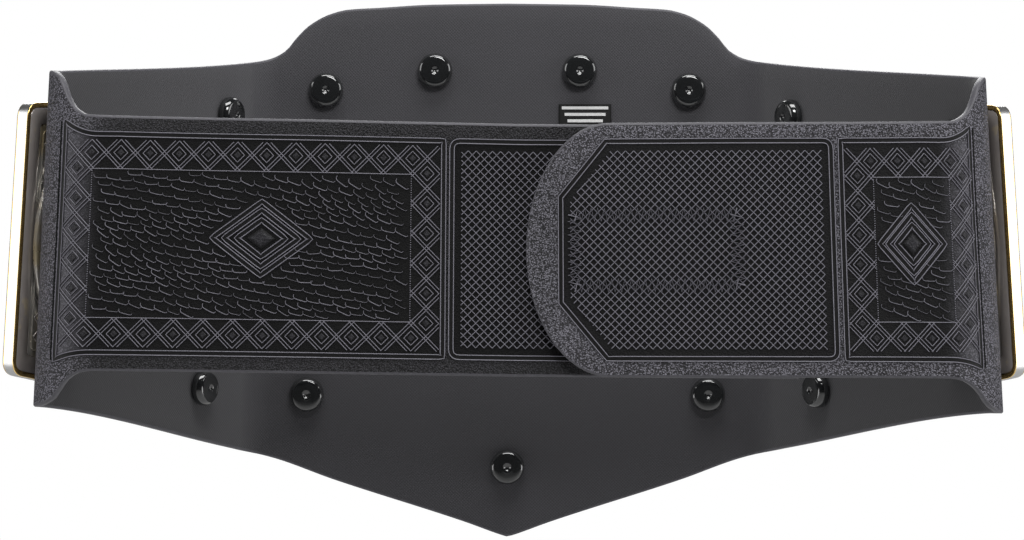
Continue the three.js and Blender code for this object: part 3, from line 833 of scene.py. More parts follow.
def new_piece(name, points, faces, finishes, finish_index=None, smooth=True):
    """A mesh from millimetre points and faces, with its finishes."""
    mesh = bpy.data.meshes.new(name)
    mesh.from_pydata((np.asarray(points, float) * MM).tolist(), [], [list(map(int, f)) for f in faces])
    for finish in finishes:
        mesh.materials.append(FINISHES[finish])
    if finish_index is not None:
        mesh.polygons.foreach_set("material_index", np.asarray(finish_index, np.int32))
    mesh.polygons.foreach_set("use_smooth", [smooth] * len(mesh.polygons))
    mesh.update()
    turn_outwards(mesh)
    made = bpy.data.objects.new(name, mesh)
    bpy.context.scene.collection.objects.link(made)
    return made


def turn_outwards(mesh):
    work = bmesh.new()
    work.from_mesh(mesh)
    bmesh.ops.remove_doubles(work, verts=work.verts, dist=1e-7)
    bmesh.ops.recalc_face_normals(work, faces=work.faces)
    work.to_mesh(mesh)
    work.free()


def carried(piece, slot, *nodes):
    """The piece rides with the belt and stands for CAD nodes. The slot is not used."""
    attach(piece, BODY)
    if nodes:
        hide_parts(*nodes)
    return piece


def loft_faces(rows, columns):
    """Quads between closed rows of equal count."""
    faces = []
    for row in range(rows - 1):
        first, after = row * columns, (row + 1) * columns
        for j in range(columns):
            right = (j + 1) % columns
            faces.append((first + j, first + right, after + right, after + j))
    return faces


EDGE_RADIUS = 0.95
STATION_STEP = 1.9
OUTER_ROWS = 46
INNER_ROWS = 30
CORNER_STEPS = 3


def strap_stations():
    """Arc lengths of the cross-sections, close together round the free end."""
    start = -(LOOP_HALF + UNDER_REACH)
    straight = LAP_END - LAP_ROUND
    plain = np.linspace(start, straight, int((straight - start) / STATION_STEP))
    turn = np.linspace(0, 1, 26)[1:] * (math.pi / 2) * 0.985
    return np.concatenate([plain, straight + LAP_ROUND * np.sin(turn)])


def section_ring():
    """The cross-section as rows of share of height, share of the corner radius and place across the wall."""
    outer = [(t, 0.0, 1.0) for t in np.linspace(0, 1, OUTER_ROWS)]
    inner = [(t, 0.0, -1.0) for t in np.linspace(1, 0, INNER_ROWS)]
    quarter = [math.pi / 2 * (i + 1) / (CORNER_STEPS + 1) for i in range(CORNER_STEPS)]
    top = [(1.0, math.sin(a), ("out", math.cos(a))) for a in quarter]
    top += [(1.0, math.cos(a), ("in", math.sin(a))) for a in quarter]
    low = [(0.0, -math.sin(a), ("in", math.cos(a))) for a in quarter]
    low += [(0.0, -math.cos(a), ("out", math.sin(a))) for a in quarter]
    return outer + top + inner + low


def build_strap():
    """The strap as one skin, with the leather outside, the lining inside and the cut edge between them."""
    stations = strap_stations()
    top, low = strap_edges(stations)
    out = layer_out(stations)
    radius = np.minimum(EDGE_RADIUS, (top - low) / 2.2)
    ring = section_ring()
    columns = []
    for share, rise, across in ring:
        z = low + radius + share * (top - low - 2 * radius) + rise * radius
        if isinstance(across, tuple):
            way = 1 if across[0] == "out" else -1
            depth = way * (WALL / 2 - radius * (1 - across[1]))
        else:
            depth = across * WALL / 2
        columns.append((stations, z, out + depth + ripple(stations, z)))
    points = np.stack([place(s, z, depth) for s, z, depth in columns], axis=1)
    count = len(ring)
    rows = len(stations)
    faces = loft_faces(rows, count)
    corner = 2 * CORNER_STEPS
    part = np.zeros(count, int) + 2
    part[:OUTER_ROWS - 1] = 0
    part[OUTER_ROWS + corner:OUTER_ROWS + corner + INNER_ROWS - 1] = 1
    index = np.tile(part, rows - 1).tolist()
    faces += [list(range(count)), [(rows - 1) * count + j for j in range(count)]]
    index += [2, 2]
    strap = new_piece("strap_shell", points.reshape(-1, 3), faces, ["outer", "lining", "edge"], index)
    flat = np.stack([np.stack([s * MM, z * MM], axis=-1) for s, z, _ in columns], axis=1)
    lay_uv(strap, flat.reshape(-1, 2), "StrapPlace")
    s = np.stack([c[0] for c in columns], axis=1).ravel()
    x, v = unwrap(s, np.stack([c[1] for c in columns], axis=1).ravel())
    lay_uv(strap, np.stack([(x + TAIL_APART * np.sign(s)) * MM, v * MM], axis=-1), "TailPlace")
    return carried(strap, "strap", "strap")


def lay_uv(piece, flat, name):
    """A UV map from one pair of numbers for each vertex."""
    layer = piece.data.uv_layers.new(name=name)
    corners = np.empty(len(piece.data.loops), np.int32)
    piece.data.loops.foreach_get("vertex_index", corners)
    layer.data.foreach_set("uv", flat[corners].astype(np.float32).ravel())


def turned(name, profile, sides, finishes, to_belt, centre=(0, 0), finish_index=None):
    """A body of revolution round the local Z axis from rows of (radius, height)."""
    angle = np.linspace(0, 2 * math.pi, sides, endpoint=False)
    rings = [r for r in profile if r[0] > 1e-6]
    points = [
        np.stack([centre[0] + r * np.cos(angle), centre[1] + r * np.sin(angle), 0 * angle + h], axis=-1)
        for r, h in rings
    ]
    points = np.concatenate(points)
    faces = loft_faces(len(rings), sides)
    if finish_index is None:
        finish_index = np.zeros(len(rings) - 1, int)
    index = np.repeat(finish_index, sides).tolist()
    for row, end in ((0, 0), (len(rings) - 1, -1)):
        pole = len(points)
        points = np.vstack([points, [centre[0], centre[1], profile[end][1]]])
        faces += [(row * sides + j, row * sides + (j + 1) % sides, pole) for j in range(sides)]
        index += [index[0 if end == 0 else -1]] * sides
    return new_piece(name, to_belt(points), faces, finishes, index)


def cap_profile(post_end):
    """Domed head with a dimple, and its post."""
    seat = -WALL - GAP
    crown = seat - CAP_HEIGHT
    side = CAP_RADIUS - CAP_TOP
    rows = [(0, post_end), (POST_RADIUS - 0.3, post_end), (POST_RADIUS, post_end - 0.3), (POST_RADIUS, seat)]
    rows += [(CAP_RADIUS - 0.3, seat), (CAP_RADIUS, seat - 0.3), (CAP_RADIUS, seat - 0.2 * CAP_HEIGHT)]
    for share in np.linspace(0.1, 1, 8):
        turn = share * math.pi / 2
        height = (0.2 + 0.76 * math.sin(turn)) * CAP_HEIGHT
        rows.append((CAP_RADIUS - side * (1 - math.cos(turn)), seat - height))
    for share in (0.8, 0.6, 0.42):
        rows.append((CAP_TOP * share, crown + 0.04 * CAP_HEIGHT * share ** 2))
    for share in np.linspace(0, 1, 5)[:-1]:
        rows.append((DIMPLE_RADIUS * (1 - share), crown + DIMPLE_DEPTH * math.sin(share * math.pi / 2)))
    rows.append((0, crown + DIMPLE_DEPTH))
    return rows


CAP_SIDES = 40


def build_cap(face, node, centre, post_end):
    cap = turned(f"turned_{node}", cap_profile(post_end), CAP_SIDES, ["cap"], face.to_belt, centre)
    return carried(cap, "cap", node)


def stepped(points, step, closed=False):
    """The same route with no piece longer than the step."""
    points = np.asarray(points, float)
    ends = np.roll(points, -1, 0) if closed else points[1:]
    route = []
    for a, b in zip(points, ends):
        count = max(1, math.ceil(np.linalg.norm(b - a) / step))
        route += [a + (b - a) * i / count for i in range(count)]
    if not closed:
        route.append(points[-1])
    return np.array(route)


def clipped(a, b, region):
    """The part of the segment a-b inside a convex region given anticlockwise, or None."""
    a, b = np.asarray(a, float), np.asarray(b, float)
    enter, leave = 0.0, 1.0
    for p, q in zip(region, np.roll(region, -1, 0)):
        inward = np.array([p[1] - q[1], q[0] - p[0]])
        start, run = inward @ (a - p), inward @ (b - a)
        if abs(run) < 1e-9:
            if start < 0:
                return None
        elif run > 0:
            enter = max(enter, -start / run)
        else:
            leave = min(leave, -start / run)
    if leave - enter < 1e-6:
        return None
    return [a + (b - a) * enter, a + (b - a) * leave]


def box_region(left, right, low, high):
    return np.array([(left, low), (right, low), (right, high), (left, high)], float)


def diagonals(region, centre, pitch, shift=0.0):
    """Both ways of diagonal lines across a region, a pitch apart on each axis, shifted along x."""
    wide, tall = pitch
    reach = 300.0
    lines = []
    for way in (-1, 1):
        for n in range(-80, 81):
            middle = np.array([centre[0] + n * wide + shift, centre[1]])
            run = np.array([wide, way * tall]) / wide * reach
            line = clipped(middle - run, middle + run, region)
            if line is not None:
                lines.append(line)
    return lines


def flat_routes(name, routes):
    """Routes as a mesh of edges only; each is (points, closed)."""
    points, edges = [], []
    for route, closed in routes:
        first = len(points)
        points += [(p[0], p[1], p[2] if len(p) > 2 else 0.0) for p in route]
        edges += [(first + i, first + i + 1) for i in range(len(route) - 1)]
        if closed:
            edges.append((first + len(route) - 1, first))
    mesh = bpy.data.meshes.new(name)
    mesh.from_pydata(points, edges, [])
    made = bpy.data.objects.new(name, mesh)
    bpy.context.scene.collection.objects.link(made)
    return made


class Tree(Graph):
    """A Geometry Nodes tree with named inputs."""

    def __init__(self, name, inputs):
        super().__init__(bpy.data.node_groups.new(name, "GeometryNodeTree"))
        self.keys = {}
        self.tree.interface.new_socket(name="Geometry", in_out="OUTPUT", socket_type="NodeSocketGeometry")
        for title, kind in [("Geometry", "Geometry"), *inputs]:
            made = self.tree.interface.new_socket(name=title, in_out="INPUT", socket_type=f"NodeSocket{kind}")
            self.keys[title] = made.identifier
        self.start = self.tree.nodes.new("NodeGroupInput")

    def given(self, title):
        return Wire(self, self.start.outputs[title])

    def close(self, geometry):
        """Ends the tree in plain geometry with its finish."""
        plain = self.node("GeometryNodeRealizeInstances", None, {"Geometry": geometry})
        values = {"Geometry": plain, "Material": self.given("Finish")}
        painted = self.node("GeometryNodeSetMaterial", None, values)
        self.node("NodeGroupOutput", None, {"Geometry": painted})
        return self

    def run(self, piece, values):
        """The tree's result on a piece, as a plain mesh that takes the piece's place."""
        modifier = piece.modifiers.new(self.tree.name, "NODES")
        modifier.node_group = self.tree
        for title, value in values.items():
            modifier[self.keys[title]] = value
        graph = bpy.context.evaluated_depsgraph_get()
        mesh = bpy.data.meshes.new_from_object(piece.evaluated_get(graph))
        name = piece.name
        bpy.data.objects.remove(piece)
        mesh.name = name
        made = bpy.data.objects.new(name, mesh)
        bpy.context.scene.collection.objects.link(made)
        return made


def swept_tree():
    """Sweeps a profile along every route."""
    tree = Tree("swept_line", [("Profile", "Object"), ("Finish", "Material")])
    routes = tree.node("GeometryNodeMeshToCurve", None, {"Mesh": tree.given("Geometry")})
    level = tree.node("GeometryNodeSetCurveNormal", {"mode": "Z_UP"}, {"Curve": routes})
    shape = tree.node("GeometryNodeObjectInfo", None, {"Object": tree.given("Profile")}, out="Geometry")
    edge = tree.node("GeometryNodeMeshToCurve", None, {"Mesh": shape})
    values = {"Curve": level, "Profile Curve": edge, "Fill Caps": True}
    return tree.close(tree.node("GeometryNodeCurveToMesh", None, values))


def scattered_tree():
    """Sets copies of a motif on the points, each turned by its "turn" and a little at random."""
    inputs = [("Motif", "Object"), ("Turn Range", "Float"), ("Size Range", "Float"), ("Seed", "Int"),
              ("Finish", "Material")]
    tree = Tree("scattered_motif", inputs)
    points = tree.node("GeometryNodeMeshToPoints", None, {"Mesh": tree.given("Geometry")})
    turn = tree.node("GeometryNodeInputNamedAttribute", {"data_type": "FLOAT"}, {"Name": "turn"})
    spread = tree.given("Turn Range")
    values = {2: spread * -1.0, 3: spread, "Seed": tree.given("Seed")}
    loose = tree.node("FunctionNodeRandomValue", {"data_type": "FLOAT"}, values, out=1)
    sizes = tree.given("Size Range")
    values = {2: 1.0 - sizes, 3: sizes + 1.0, "Seed": tree.given("Seed") + 1.0}
    size = tree.node("FunctionNodeRandomValue", {"data_type": "FLOAT"}, values, out=1)
    values = {"X": 0.0, "Y": 0.0, "Z": turn + loose}
    rotation = tree.node("ShaderNodeCombineXYZ", None, values)
    motif = tree.node("GeometryNodeObjectInfo", None, {"Object": tree.given("Motif")}, out="Geometry")
    values = {"Points": points, "Instance": motif, "Rotation": rotation, "Scale": size}
    return tree.close(tree.node("GeometryNodeInstanceOnPoints", None, values))


def beaded_tree():
    """Sets beads along every route at an even spacing."""
    tree = Tree("beaded_line", [("Bead", "Object"), ("Spacing", "Float"), ("Finish", "Material")])
    routes = tree.node("GeometryNodeMeshToCurve", None, {"Mesh": tree.given("Geometry")})
    values = {"Curve": routes, "Length": tree.given("Spacing")}
    even = tree.node("GeometryNodeResampleCurve", {"mode": "LENGTH"}, values)
    along = tree.node("GeometryNodeInputTangent")
    rotation = tree.node("FunctionNodeAlignRotationToVector", {"axis": "X"}, {"Vector": along})
    bead = tree.node("GeometryNodeObjectInfo", None, {"Object": tree.given("Bead")}, out="Geometry")
    values = {"Points": even, "Instance": bead, "Rotation": rotation}
    return tree.close(tree.node("GeometryNodeInstanceOnPoints", None, values))


SWEPT = swept_tree()
SCATTERED = scattered_tree()
BEADED = beaded_tree()


def laid(piece, lay, sharp=40):
    """Moves a flat piece's points to the belt and closes off its mesh."""
    mesh = piece.data
    flat = np.empty(len(mesh.vertices) * 3, np.float32)
    mesh.vertices.foreach_get("co", flat)
    flat = flat.reshape(-1, 3).astype(float)
    crest = mesh.attributes.new("crest", "FLOAT", "POINT")
    crest.data.foreach_set("value", np.clip(flat[:, 2] / flat[:, 2].max(), 0, 1).astype(np.float32))
    points = lay(flat) * MM
    mesh.vertices.foreach_set("co", points.astype(np.float32).ravel())
    turn_outwards(mesh)
    mesh.polygons.foreach_set("use_smooth", [True] * len(mesh.polygons))
    smooth_by_angle(piece, sharp)
    return piece


def lined(name, routes, profile, finish, lay, sharp=40):
    """Routes as raised lines of one profile."""
    hanging = [(across, -height) for across, height in profile]
    shape = flat_routes(f"{name}_profile", [(hanging, True)])
    piece = SWEPT.run(flat_routes(name, routes), {"Profile": shape, "Finish": FINISHES[finish]})
    bpy.data.objects.remove(shape)
    return laid(piece, lay, sharp)


def scattered(name, places, turns, motif, finish, lay, turn_range=0.0, size_range=0.0, seed=1, sharp=40):
    """Copies of a motif on the places. The motif is (points, faces) in the flat."""
    shape = flat_motif(f"{name}_motif", *motif)
    base = flat_routes(name, [([place_], False) for place_ in places])
    turn = base.data.attributes.new("turn", "FLOAT", "POINT")
    turn.data.foreach_set("value", np.asarray(turns, np.float32))
    values = {"Motif": shape, "Turn Range": turn_range, "Size Range": size_range, "Seed": seed,
              "Finish": FINISHES[finish]}
    piece = SCATTERED.run(base, values)
    bpy.data.objects.remove(shape)
    return laid(piece, lay, sharp)


def beaded(name, routes, motif, spacing, finish, lay, sharp=40):
    """Beads of one motif along routes."""
    shape = flat_motif(f"{name}_bead", *motif)
    values = {"Bead": shape, "Spacing": spacing, "Finish": FINISHES[finish]}
    piece = BEADED.run(flat_routes(name, routes), values)
    bpy.data.objects.remove(shape)
    return laid(piece, lay, sharp)


def flat_motif(name, points, faces):
    mesh = bpy.data.meshes.new(name)
    mesh.from_pydata([tuple(map(float, p)) for p in points], [], [list(map(int, f)) for f in faces])
    made = bpy.data.objects.new(name, mesh)
    bpy.context.scene.collection.objects.link(made)
    return made


def on_tail(tail):
    return lambda points: wrap(points, tail)


def stud_motif(half_wide, half_tall, rise, top_share=0.62):
    """A lozenge stud with a flat top."""
    corners = np.array([(1, 0), (0, 1), (-1, 0), (0, -1)]) * [half_wide, half_tall]
    rings = [(1.0, -0.12), (0.97, 0.3 * rise), (top_share, rise), (top_share * 0.8, rise * 0.98)]
    points = [(x * share, y * share, h) for share, h in rings for x, y in corners]
    faces = loft_faces(len(rings), 4)
    faces += [(0, 1, 2, 3), tuple(len(points) - 4 + j for j in range(4))]
    return points, faces


def bead_motif(radius, rise, sides=8):
    """A small dome."""
    rings = [(1.0, -0.1 * rise), (0.92, 0.38 * rise), (0.6, 0.8 * rise)]
    angles = [2 * math.pi * j / sides for j in range(sides)]
    points = []
    for share, h in rings:
        points += [(radius * share * math.cos(a), radius * share * math.sin(a), h) for a in angles]
    points.append((0, 0, rise))
    faces = loft_faces(len(rings), sides)
    faces.append(tuple(range(sides)))
    faces += [(2 * sides + j, 2 * sides + (j + 1) % sides, 3 * sides) for j in range(sides)]
    return points, faces


def crest_outline(inset, top_steps=44, low_steps=16):
    """The main plate's outline, held inside the front panel's own edges."""
    half = MAIN_HALF - inset
    margin = MAIN_MARGIN + inset
    slant = 1 / math.cos(math.atan((POINT - SHOULDER_LOW) / (1.05 * FRONT_HALF)))
    across = half * np.sin(np.linspace(0, math.pi / 2, top_steps)) ** 0.9
    steep = (through_rows(TOP_ROWS, across + 1) - through_rows(TOP_ROWS, across)) * 0.55
    top = np.stack([across, through_rows(TOP_ROWS, across) - margin * np.hypot(1, steep)], axis=-1)
    under = np.linspace(0, half, low_steps)
    low = np.stack([under, through_rows(LOW_ROWS, under) + margin * slant], axis=-1)
    right = np.vstack([low, top[::-1]])
    left = right[1:-1] * [-1, 1]
    return np.vstack([right, left[::-1]])


def rounded(corners, radius, steps=6):
    """A closed outline with its corners rounded."""
    corners = np.asarray(corners, float)
    outline = []
    for before, corner, after in zip(np.roll(corners, 1, 0), corners, np.roll(corners, -1, 0)):
        start = corner + radius * (before - corner) / np.linalg.norm(before - corner)
        end = corner + radius * (after - corner) / np.linalg.norm(after - corner)
        for t in np.linspace(0, 1, steps):
            outline.append(start * (1 - t) ** 2 + corner * 2 * t * (1 - t) + end * t * t)
    return np.array(outline)


PLATE_NEAR = SIDE_LENGTH / 2 + PLATE_OVERHANG
PLATE_FAR = -SIDE_LENGTH / 2 + PLATE_FAR_INSET
PLATE_FLARE = (PLATE_FAR_HALF - PLATE_NEAR_HALF) / (PLATE_NEAR - PLATE_FAR)


def plate_half(u):
    """Half the side plate's height at u along it."""
    return PLATE_NEAR_HALF + (PLATE_NEAR - u) * PLATE_FLARE


def plate_front(v):
    """Where the slanted front end of the side plate lies at height v."""
    return PLATE_FAR - (PLATE_SLANT / 2) * (v / PLATE_FAR_HALF)


def side_outline(side, inset, corner_steps=10):
    """A side plate's outline: tall at its front end, lower at its rear end."""
    near = PLATE_NEAR - inset
    near_half = plate_half(near) - inset
    far_top = plate_front(PLATE_FAR_HALF) + inset
    far_low = plate_front(-PLATE_FAR_HALF) + inset
    corners = np.array([
        (near, -near_half), (near, near_half),
        (far_top, plate_half(far_top) - inset), (far_low, -plate_half(far_low) + inset),
    ])
    if side > 0:
        corners = (corners * [-1, 1])[::-1]
    radius = max(2, PLATE_CORNER - inset)
    return rounded(corners, radius, corner_steps)


def moulded(name, outline, steps, finishes, finish_index, to_belt):
    """A plate lofted through (inset, height) steps from its back to its field, both closed flat."""
    rings = []
    for inset, height in steps:
        ring = outline(inset)
        rings.append(np.column_stack([ring, np.full(len(ring), height)]))
    count = len(rings[0])
    faces = loft_faces(len(rings), count)
    index = np.repeat(finish_index[1:-1], count).tolist()
    faces += [list(range(count)), [(len(rings) - 1) * count + j for j in range(count)]]
    index += [finish_index[0], finish_index[-1]]
    return new_piece(name, to_belt(np.concatenate(rings)), faces, finishes, index)


def smooth_by_angle(piece, degrees):
    """Sharp edges stay sharp: edges over the angle are marked."""
    limit = math.radians(degrees)
    work = bmesh.new()
    work.from_mesh(piece.data)
    for edge in work.edges:
        if len(edge.link_faces) == 2 and edge.calc_face_angle(0) > limit:
            edge.smooth = False
    work.to_mesh(piece.data)
    work.free()


def coin_profile(radius, rise, base):
    """A coin's side, its round rim and its sunk field."""
    ring = 0.1 * radius
    rows = [(0, base), (radius - 0.3, base), (radius, base + 0.3), (radius, base + 0.75 * rise)]
    for share in np.linspace(0, 1, 6):
        turn = math.pi * share
        level = base + rise * (0.75 + 0.25 * math.sin(turn))
        rows.append((radius - ring / 2 - ring / 2 * math.cos(turn) * 0.98, level))
    rows += [(radius - 1.3 * ring, base + 0.55 * rise), (radius - 1.5 * ring, base + 0.55 * rise)]
    rows += [(0.5 * radius, base + 0.5 * rise), (0, base + 0.5 * rise)]
    return rows


def faceted_star(name, arms, outer, inner, base, top, to_belt, finish, centre=(0, 0)):
    """A star whose arms rise to a ridge."""
    corners = []
    for i in range(2 * arms):
        radius = outer if i % 2 == 0 else inner
        angle = math.pi / 2 + i * math.pi / arms
        corners.append((centre[0] + radius * math.cos(angle), centre[1] + radius * math.sin(angle)))
    points = [(x, y, base) for x, y in corners] + [(x, y, base + 0.2 * (top - base)) for x, y in corners]
    count = 2 * arms
    points += [(centre[0], centre[1], top), (centre[0], centre[1], base)]
    faces = [(i, (i + 1) % count, count + (i + 1) % count, count + i) for i in range(count)]
    faces += [(count + i, count + (i + 1) % count, 2 * count) for i in range(count)]
    faces += [((i + 1) % count, i, 2 * count + 1) for i in range(count)]
    return new_piece(name, to_belt(np.array(points)), faces, [finish], smooth=False)


def joined(name, pieces):
    """Several meshes as one object."""
    bpy.ops.object.select_all(action="DESELECT")
    for piece in pieces:
        piece.select_set(True)
    bpy.context.view_layer.objects.active = pieces[0]
    bpy.ops.object.join()
    whole = bpy.context.view_layer.objects.active
    whole.name = name
    whole.data.name = name
    return whole


def circle(centre, radius, steps=72):
    angle = np.linspace(0, 2 * math.pi, steps, endpoint=False)
    return np.stack([centre[0] + radius * np.cos(angle), centre[1] + radius * np.sin(angle)], axis=-1)


def on_face(face, level, way=1):
    """Lays flat points on a level of a face; way -1 turns heights towards the strap."""
    return lambda points: face.to_belt(points * [1, 1, way] + [0, 0, level])


def leaf_motif(length, width, rise):
    """A pointed leaf with a sunk midrib."""
    points = []
    shares = np.linspace(0.02, 0.98, 7)
    for share in shares:
        half = width / 2 * math.sin(share * math.pi) ** 0.75
        high = rise * math.sin(share * math.pi) ** 0.5
        x = (share - 0.5) * length
        row = [(-half, -0.1), (-half * 0.5, high), (0, high * 0.5), (half * 0.5, high), (half, -0.1)]
        points += [(x, across, height) for across, height in row]
    faces = loft_faces(len(shares), 5)
    faces += [tuple(range(5)), tuple(len(points) - 5 + j for j in range(5))]
    return points, faces


def reach_to(outline, centre, angle):
    """Distance from a centre to a closed outline along an angle."""
    way = (math.cos(angle), math.sin(angle))
    start = outline - centre
    edge = np.roll(start, -1, 0) - start
    turn = way[0] * edge[:, 1] - way[1] * edge[:, 0]
    distance = (start[:, 0] * edge[:, 1] - start[:, 1] * edge[:, 0]) / turn
    share = (start[:, 0] * way[1] - start[:, 1] * way[0]) / turn
    return distance[(share >= 0) & (share <= 1) & (distance > 0)].min()


RAY = [(-0.95, -0.1), (0, 0.85), (0.95, -0.1)]
FINE_RAY = [(-0.5, -0.1), (0, 0.5), (0.5, -0.1)]


def build_rays(name, lay, centre, outline, starts, count):
    """Raised rays round a centre, every other one fine, out to an outline."""
    thick, fine = [], []
    for i in range(count):
        angle = 2 * math.pi * (i + 0.5) / count
        way = np.array([math.cos(angle), math.sin(angle)])
        near, far = starts(angle), reach_to(outline, centre, angle)
        if far - near < 3:
            continue
        route = stepped([centre + way * near, centre + way * far], 6)
        (fine if i % 2 else thick).append((route, False))
    for label, routes, profile in (("rays", thick, RAY), ("fine_rays", fine, FINE_RAY)):
        carried(lined(f"{name}_{label}", routes, profile, "gold", lay, 30), "gold")


def build_coin(node, face, centre, base, rise, arms):
    """Silver coin with a beaded ring, an enamel field, a star and a boss."""
    profile = coin_profile(COIN_RADIUS, rise, base)
    parts = len([r for r in profile if r[0] > 1e-6]) - 1
    index = np.zeros(parts, int)
    index[-2:] = 1
    body = turned(f"{node}_coin", profile, 96, ["silver", "enamel"], face.to_belt, centre, index)
    sizes = (0.8 * COIN_RADIUS, 0.34 * COIN_RADIUS, base + 0.4 * rise, base + 1.0 * rise)
    star = faceted_star(f"{node}_star", arms, *sizes, face.to_belt, "gold", centre)
    sizes = (0.17 * COIN_RADIUS, 0.08 * COIN_RADIUS, base + 1.0 * rise, base + 1.5 * rise)
    small = faceted_star(f"{node}_small_star", arms, *sizes, face.to_belt, "gold", centre)
    boss_rows = [(share * COIN_RADIUS, base + height * rise) for share, height in COIN_BOSS]
    boss = turned(f"{node}_boss", boss_rows, 48, ["silver"], face.to_belt, centre)
    whole = joined(f"relief_{node}", [body, star, boss, small])
    carried(whole, "silver", node)

    ring = [(circle(centre, 0.95 * COIN_RADIUS), True)]
    lay = on_face(face, base + rise - 0.05)
    bead = bead_motif(*COIN_BEAD, BEAD_SIDES)
    beads = beaded(f"bead_ring_{node}", ring, bead, COIN_BEAD_PITCH, "silver", lay)
    carried(beads, "silver")
    angles = math.pi / 2 + (np.arange(2 * arms) + 0.5) * math.pi / arms
    reach = 0.72 * COIN_RADIUS
    places = [(centre[0] + reach * math.cos(a), centre[1] + reach * math.sin(a)) for a in angles]
    lay = on_face(face, base + 0.52 * rise)
    studs = scattered(f"studs_{node}", places, angles, leaf_motif(7, 2.6, 0.9), "silver", lay, sharp=30)
    carried(studs, "silver")


def bar_outline(middle, inset, steps=28):
    """A name bar: a band round the medallion, straight across at its ends."""
    inner = COIN_RADIUS + BAR_GAP + inset
    outer = COIN_RADIUS + BAR_GAP + BAR_WIDTH - inset
    band = []
    for radius, way in ((outer, 1), (inner, -1)):
        half = BAR_HALF_ANGLE - inset / radius
        for angle in middle + np.linspace(-half * way, half * way, steps):
            band.append((radius * math.cos(angle), MAIN_COIN_LIFT + radius * math.sin(angle)))
    return np.array(band)


def build_bar(name, face, front, middle):
    """A raised gold bar with a bare enamel inlay."""
    top = front + BAR_RISE
    steps = [
        (0.0, front - 0.2), (0.0, top - 0.35), (0.12, top - 0.1), (0.4, top), (1.0, top), (1.3, top - 0.35),
        (1.6, top - 0.4),
    ]
    index = [0] * len(steps) + [1]

    def outline(inset):
        return bar_outline(middle, inset)

    bar = moulded(name, outline, steps, ["gold", "enamel"], index, face.to_belt)
    smooth_by_angle(bar, 40)
    return bar


def build_rosette(name, face, front, centre):
    """A gold dish with silver petals and an eye."""
    top = front + ROSETTE_RISE
    rows = [
        (0, front - 0.1), (ROSETTE_RADIUS, front - 0.1), (ROSETTE_RADIUS, top - 0.4),
        (ROSETTE_RADIUS - 0.3, top - 0.05), (ROSETTE_RADIUS - 1, top), (ROSETTE_RADIUS - 1.4, top - 0.3),
        (ROSETTE_RADIUS - 1.7, top - 0.9), (0, top - 0.9),
    ]
    dish = turned(f"{name}_dish", rows, 48, ["gold"], face.to_belt, centre)
    petals = faceted_star(
        f"{name}_petals", 8, ROSETTE_RADIUS - 1.8, 2.6, top - 1.0, top + 0.2, face.to_belt, "silver", centre)
    eye_rows = [
        (0, top - 0.5), (1.9, top - 0.5), (1.9, top + 0.1),
        (1.4, top + 0.6), (0.6, top + 0.85), (0, top + 0.9),
    ]
    eye = turned(f"{name}_eye", eye_rows, 24, ["gold"], face.to_belt, centre)
    return [dish, petals, eye]


def build_boss(name, face, centre, radius, back, front, hole_end):
    """A round boss with a blind hole for a cap's post."""
    hole = POST_RADIUS + POST_CLEARANCE
    rows = [(0, hole_end), (hole, hole_end), (hole, back), (radius, back), (radius, front), (0, front)]
    boss = turned(name, rows, 24, ["gold"], face.to_belt, centre)
    smooth_by_angle(boss, 40)
    return boss


def build_main():
    """The main plate with its name bars, rosettes and coin, and the caps that hold it."""
    face = Face(0.0, FRONT_HALF / 2)
    back = GAP
    front = back + MAIN_DEPTH
    rim_top = front + MAIN_RIM_RISE
    steps = [
        (MAIN_WALL, front - MAIN_FACE), (MAIN_WALL, back), (0.2, back), (0.0, back + 0.2), (0.0, back + 0.4),
        (0.0, rim_top - 0.8), (0.0, rim_top - 0.7), (0.25, rim_top - 0.2), (0.8, rim_top),
        (1.6, rim_top - 0.15), (2.2, rim_top - 0.55), (2.8, rim_top - 0.15), (3.5, rim_top),
        (4.1, rim_top - 0.3), (MAIN_RIM, front + 0.4), (MAIN_RIM + 0.5, front),
    ]
    index = [0] * len(steps) + [1]
    plate = moulded("moulded_plate", crest_outline, steps, ["gold", "hammered"], index, face.to_belt)
    smooth_by_angle(plate, 50)
    pieces = [plate]
    for label, middle in (("upper", math.pi / 2), ("lower", -math.pi / 2)):
        pieces.append(build_bar(f"name_bar_{label}", face, front, middle))
    rosettes = []
    for i, (along, height) in enumerate(ROSETTES):
        reach = POINT if height < 0 else CROWN
        rosettes.append((along * FRONT_HALF, height * reach if height else MAIN_COIN_LIFT))
        pieces += build_rosette(f"rosette_{i}", face, front, rosettes[-1])
    caps = [(along * FRONT_HALF, height * (CROWN if height > 0 else POINT)) for along, height in MAIN_CAPS]
    post_end = back + POST_IN
    boss_radius = POST_RADIUS + POST_CLEARANCE + BOSS_WALL
    boss_front = front - MAIN_FACE / 2
    for i, centre in enumerate(caps):
        pieces.append(build_boss(f"boss_{i}", face, centre, boss_radius, back, boss_front, post_end + GAP))
        build_cap(face, f"cap_main_{i + 1}", centre, post_end)
    carried(joined("moulded_main_plate", pieces), "gold", "main_plate")

    centre = np.array([0, MAIN_COIN_LIFT])
    lay = on_face(face, front)
    row = [(crest_outline(MAIN_RIM + 2.2), True)]
    bead = bead_motif(*MAIN_BEAD, BEAD_SIDES)
    carried(beaded("bead_row_main", row, bead, MAIN_BEAD_PITCH, "gold", lay), "gold")

    def starts(angle):
        between = abs(math.sin(angle)) < math.cos(BAR_HALF_ANGLE + 0.05)
        return COIN_RADIUS + (3 if between else BAR_GAP + BAR_WIDTH + 2.5)

    build_rays("main", lay, centre, crest_outline(MAIN_RIM + 4.6), starts, MAIN_RAYS)
    build_coin("main_medallion", face, (0, MAIN_COIN_LIFT), front + GAP, MAIN_COIN_RISE, 8)


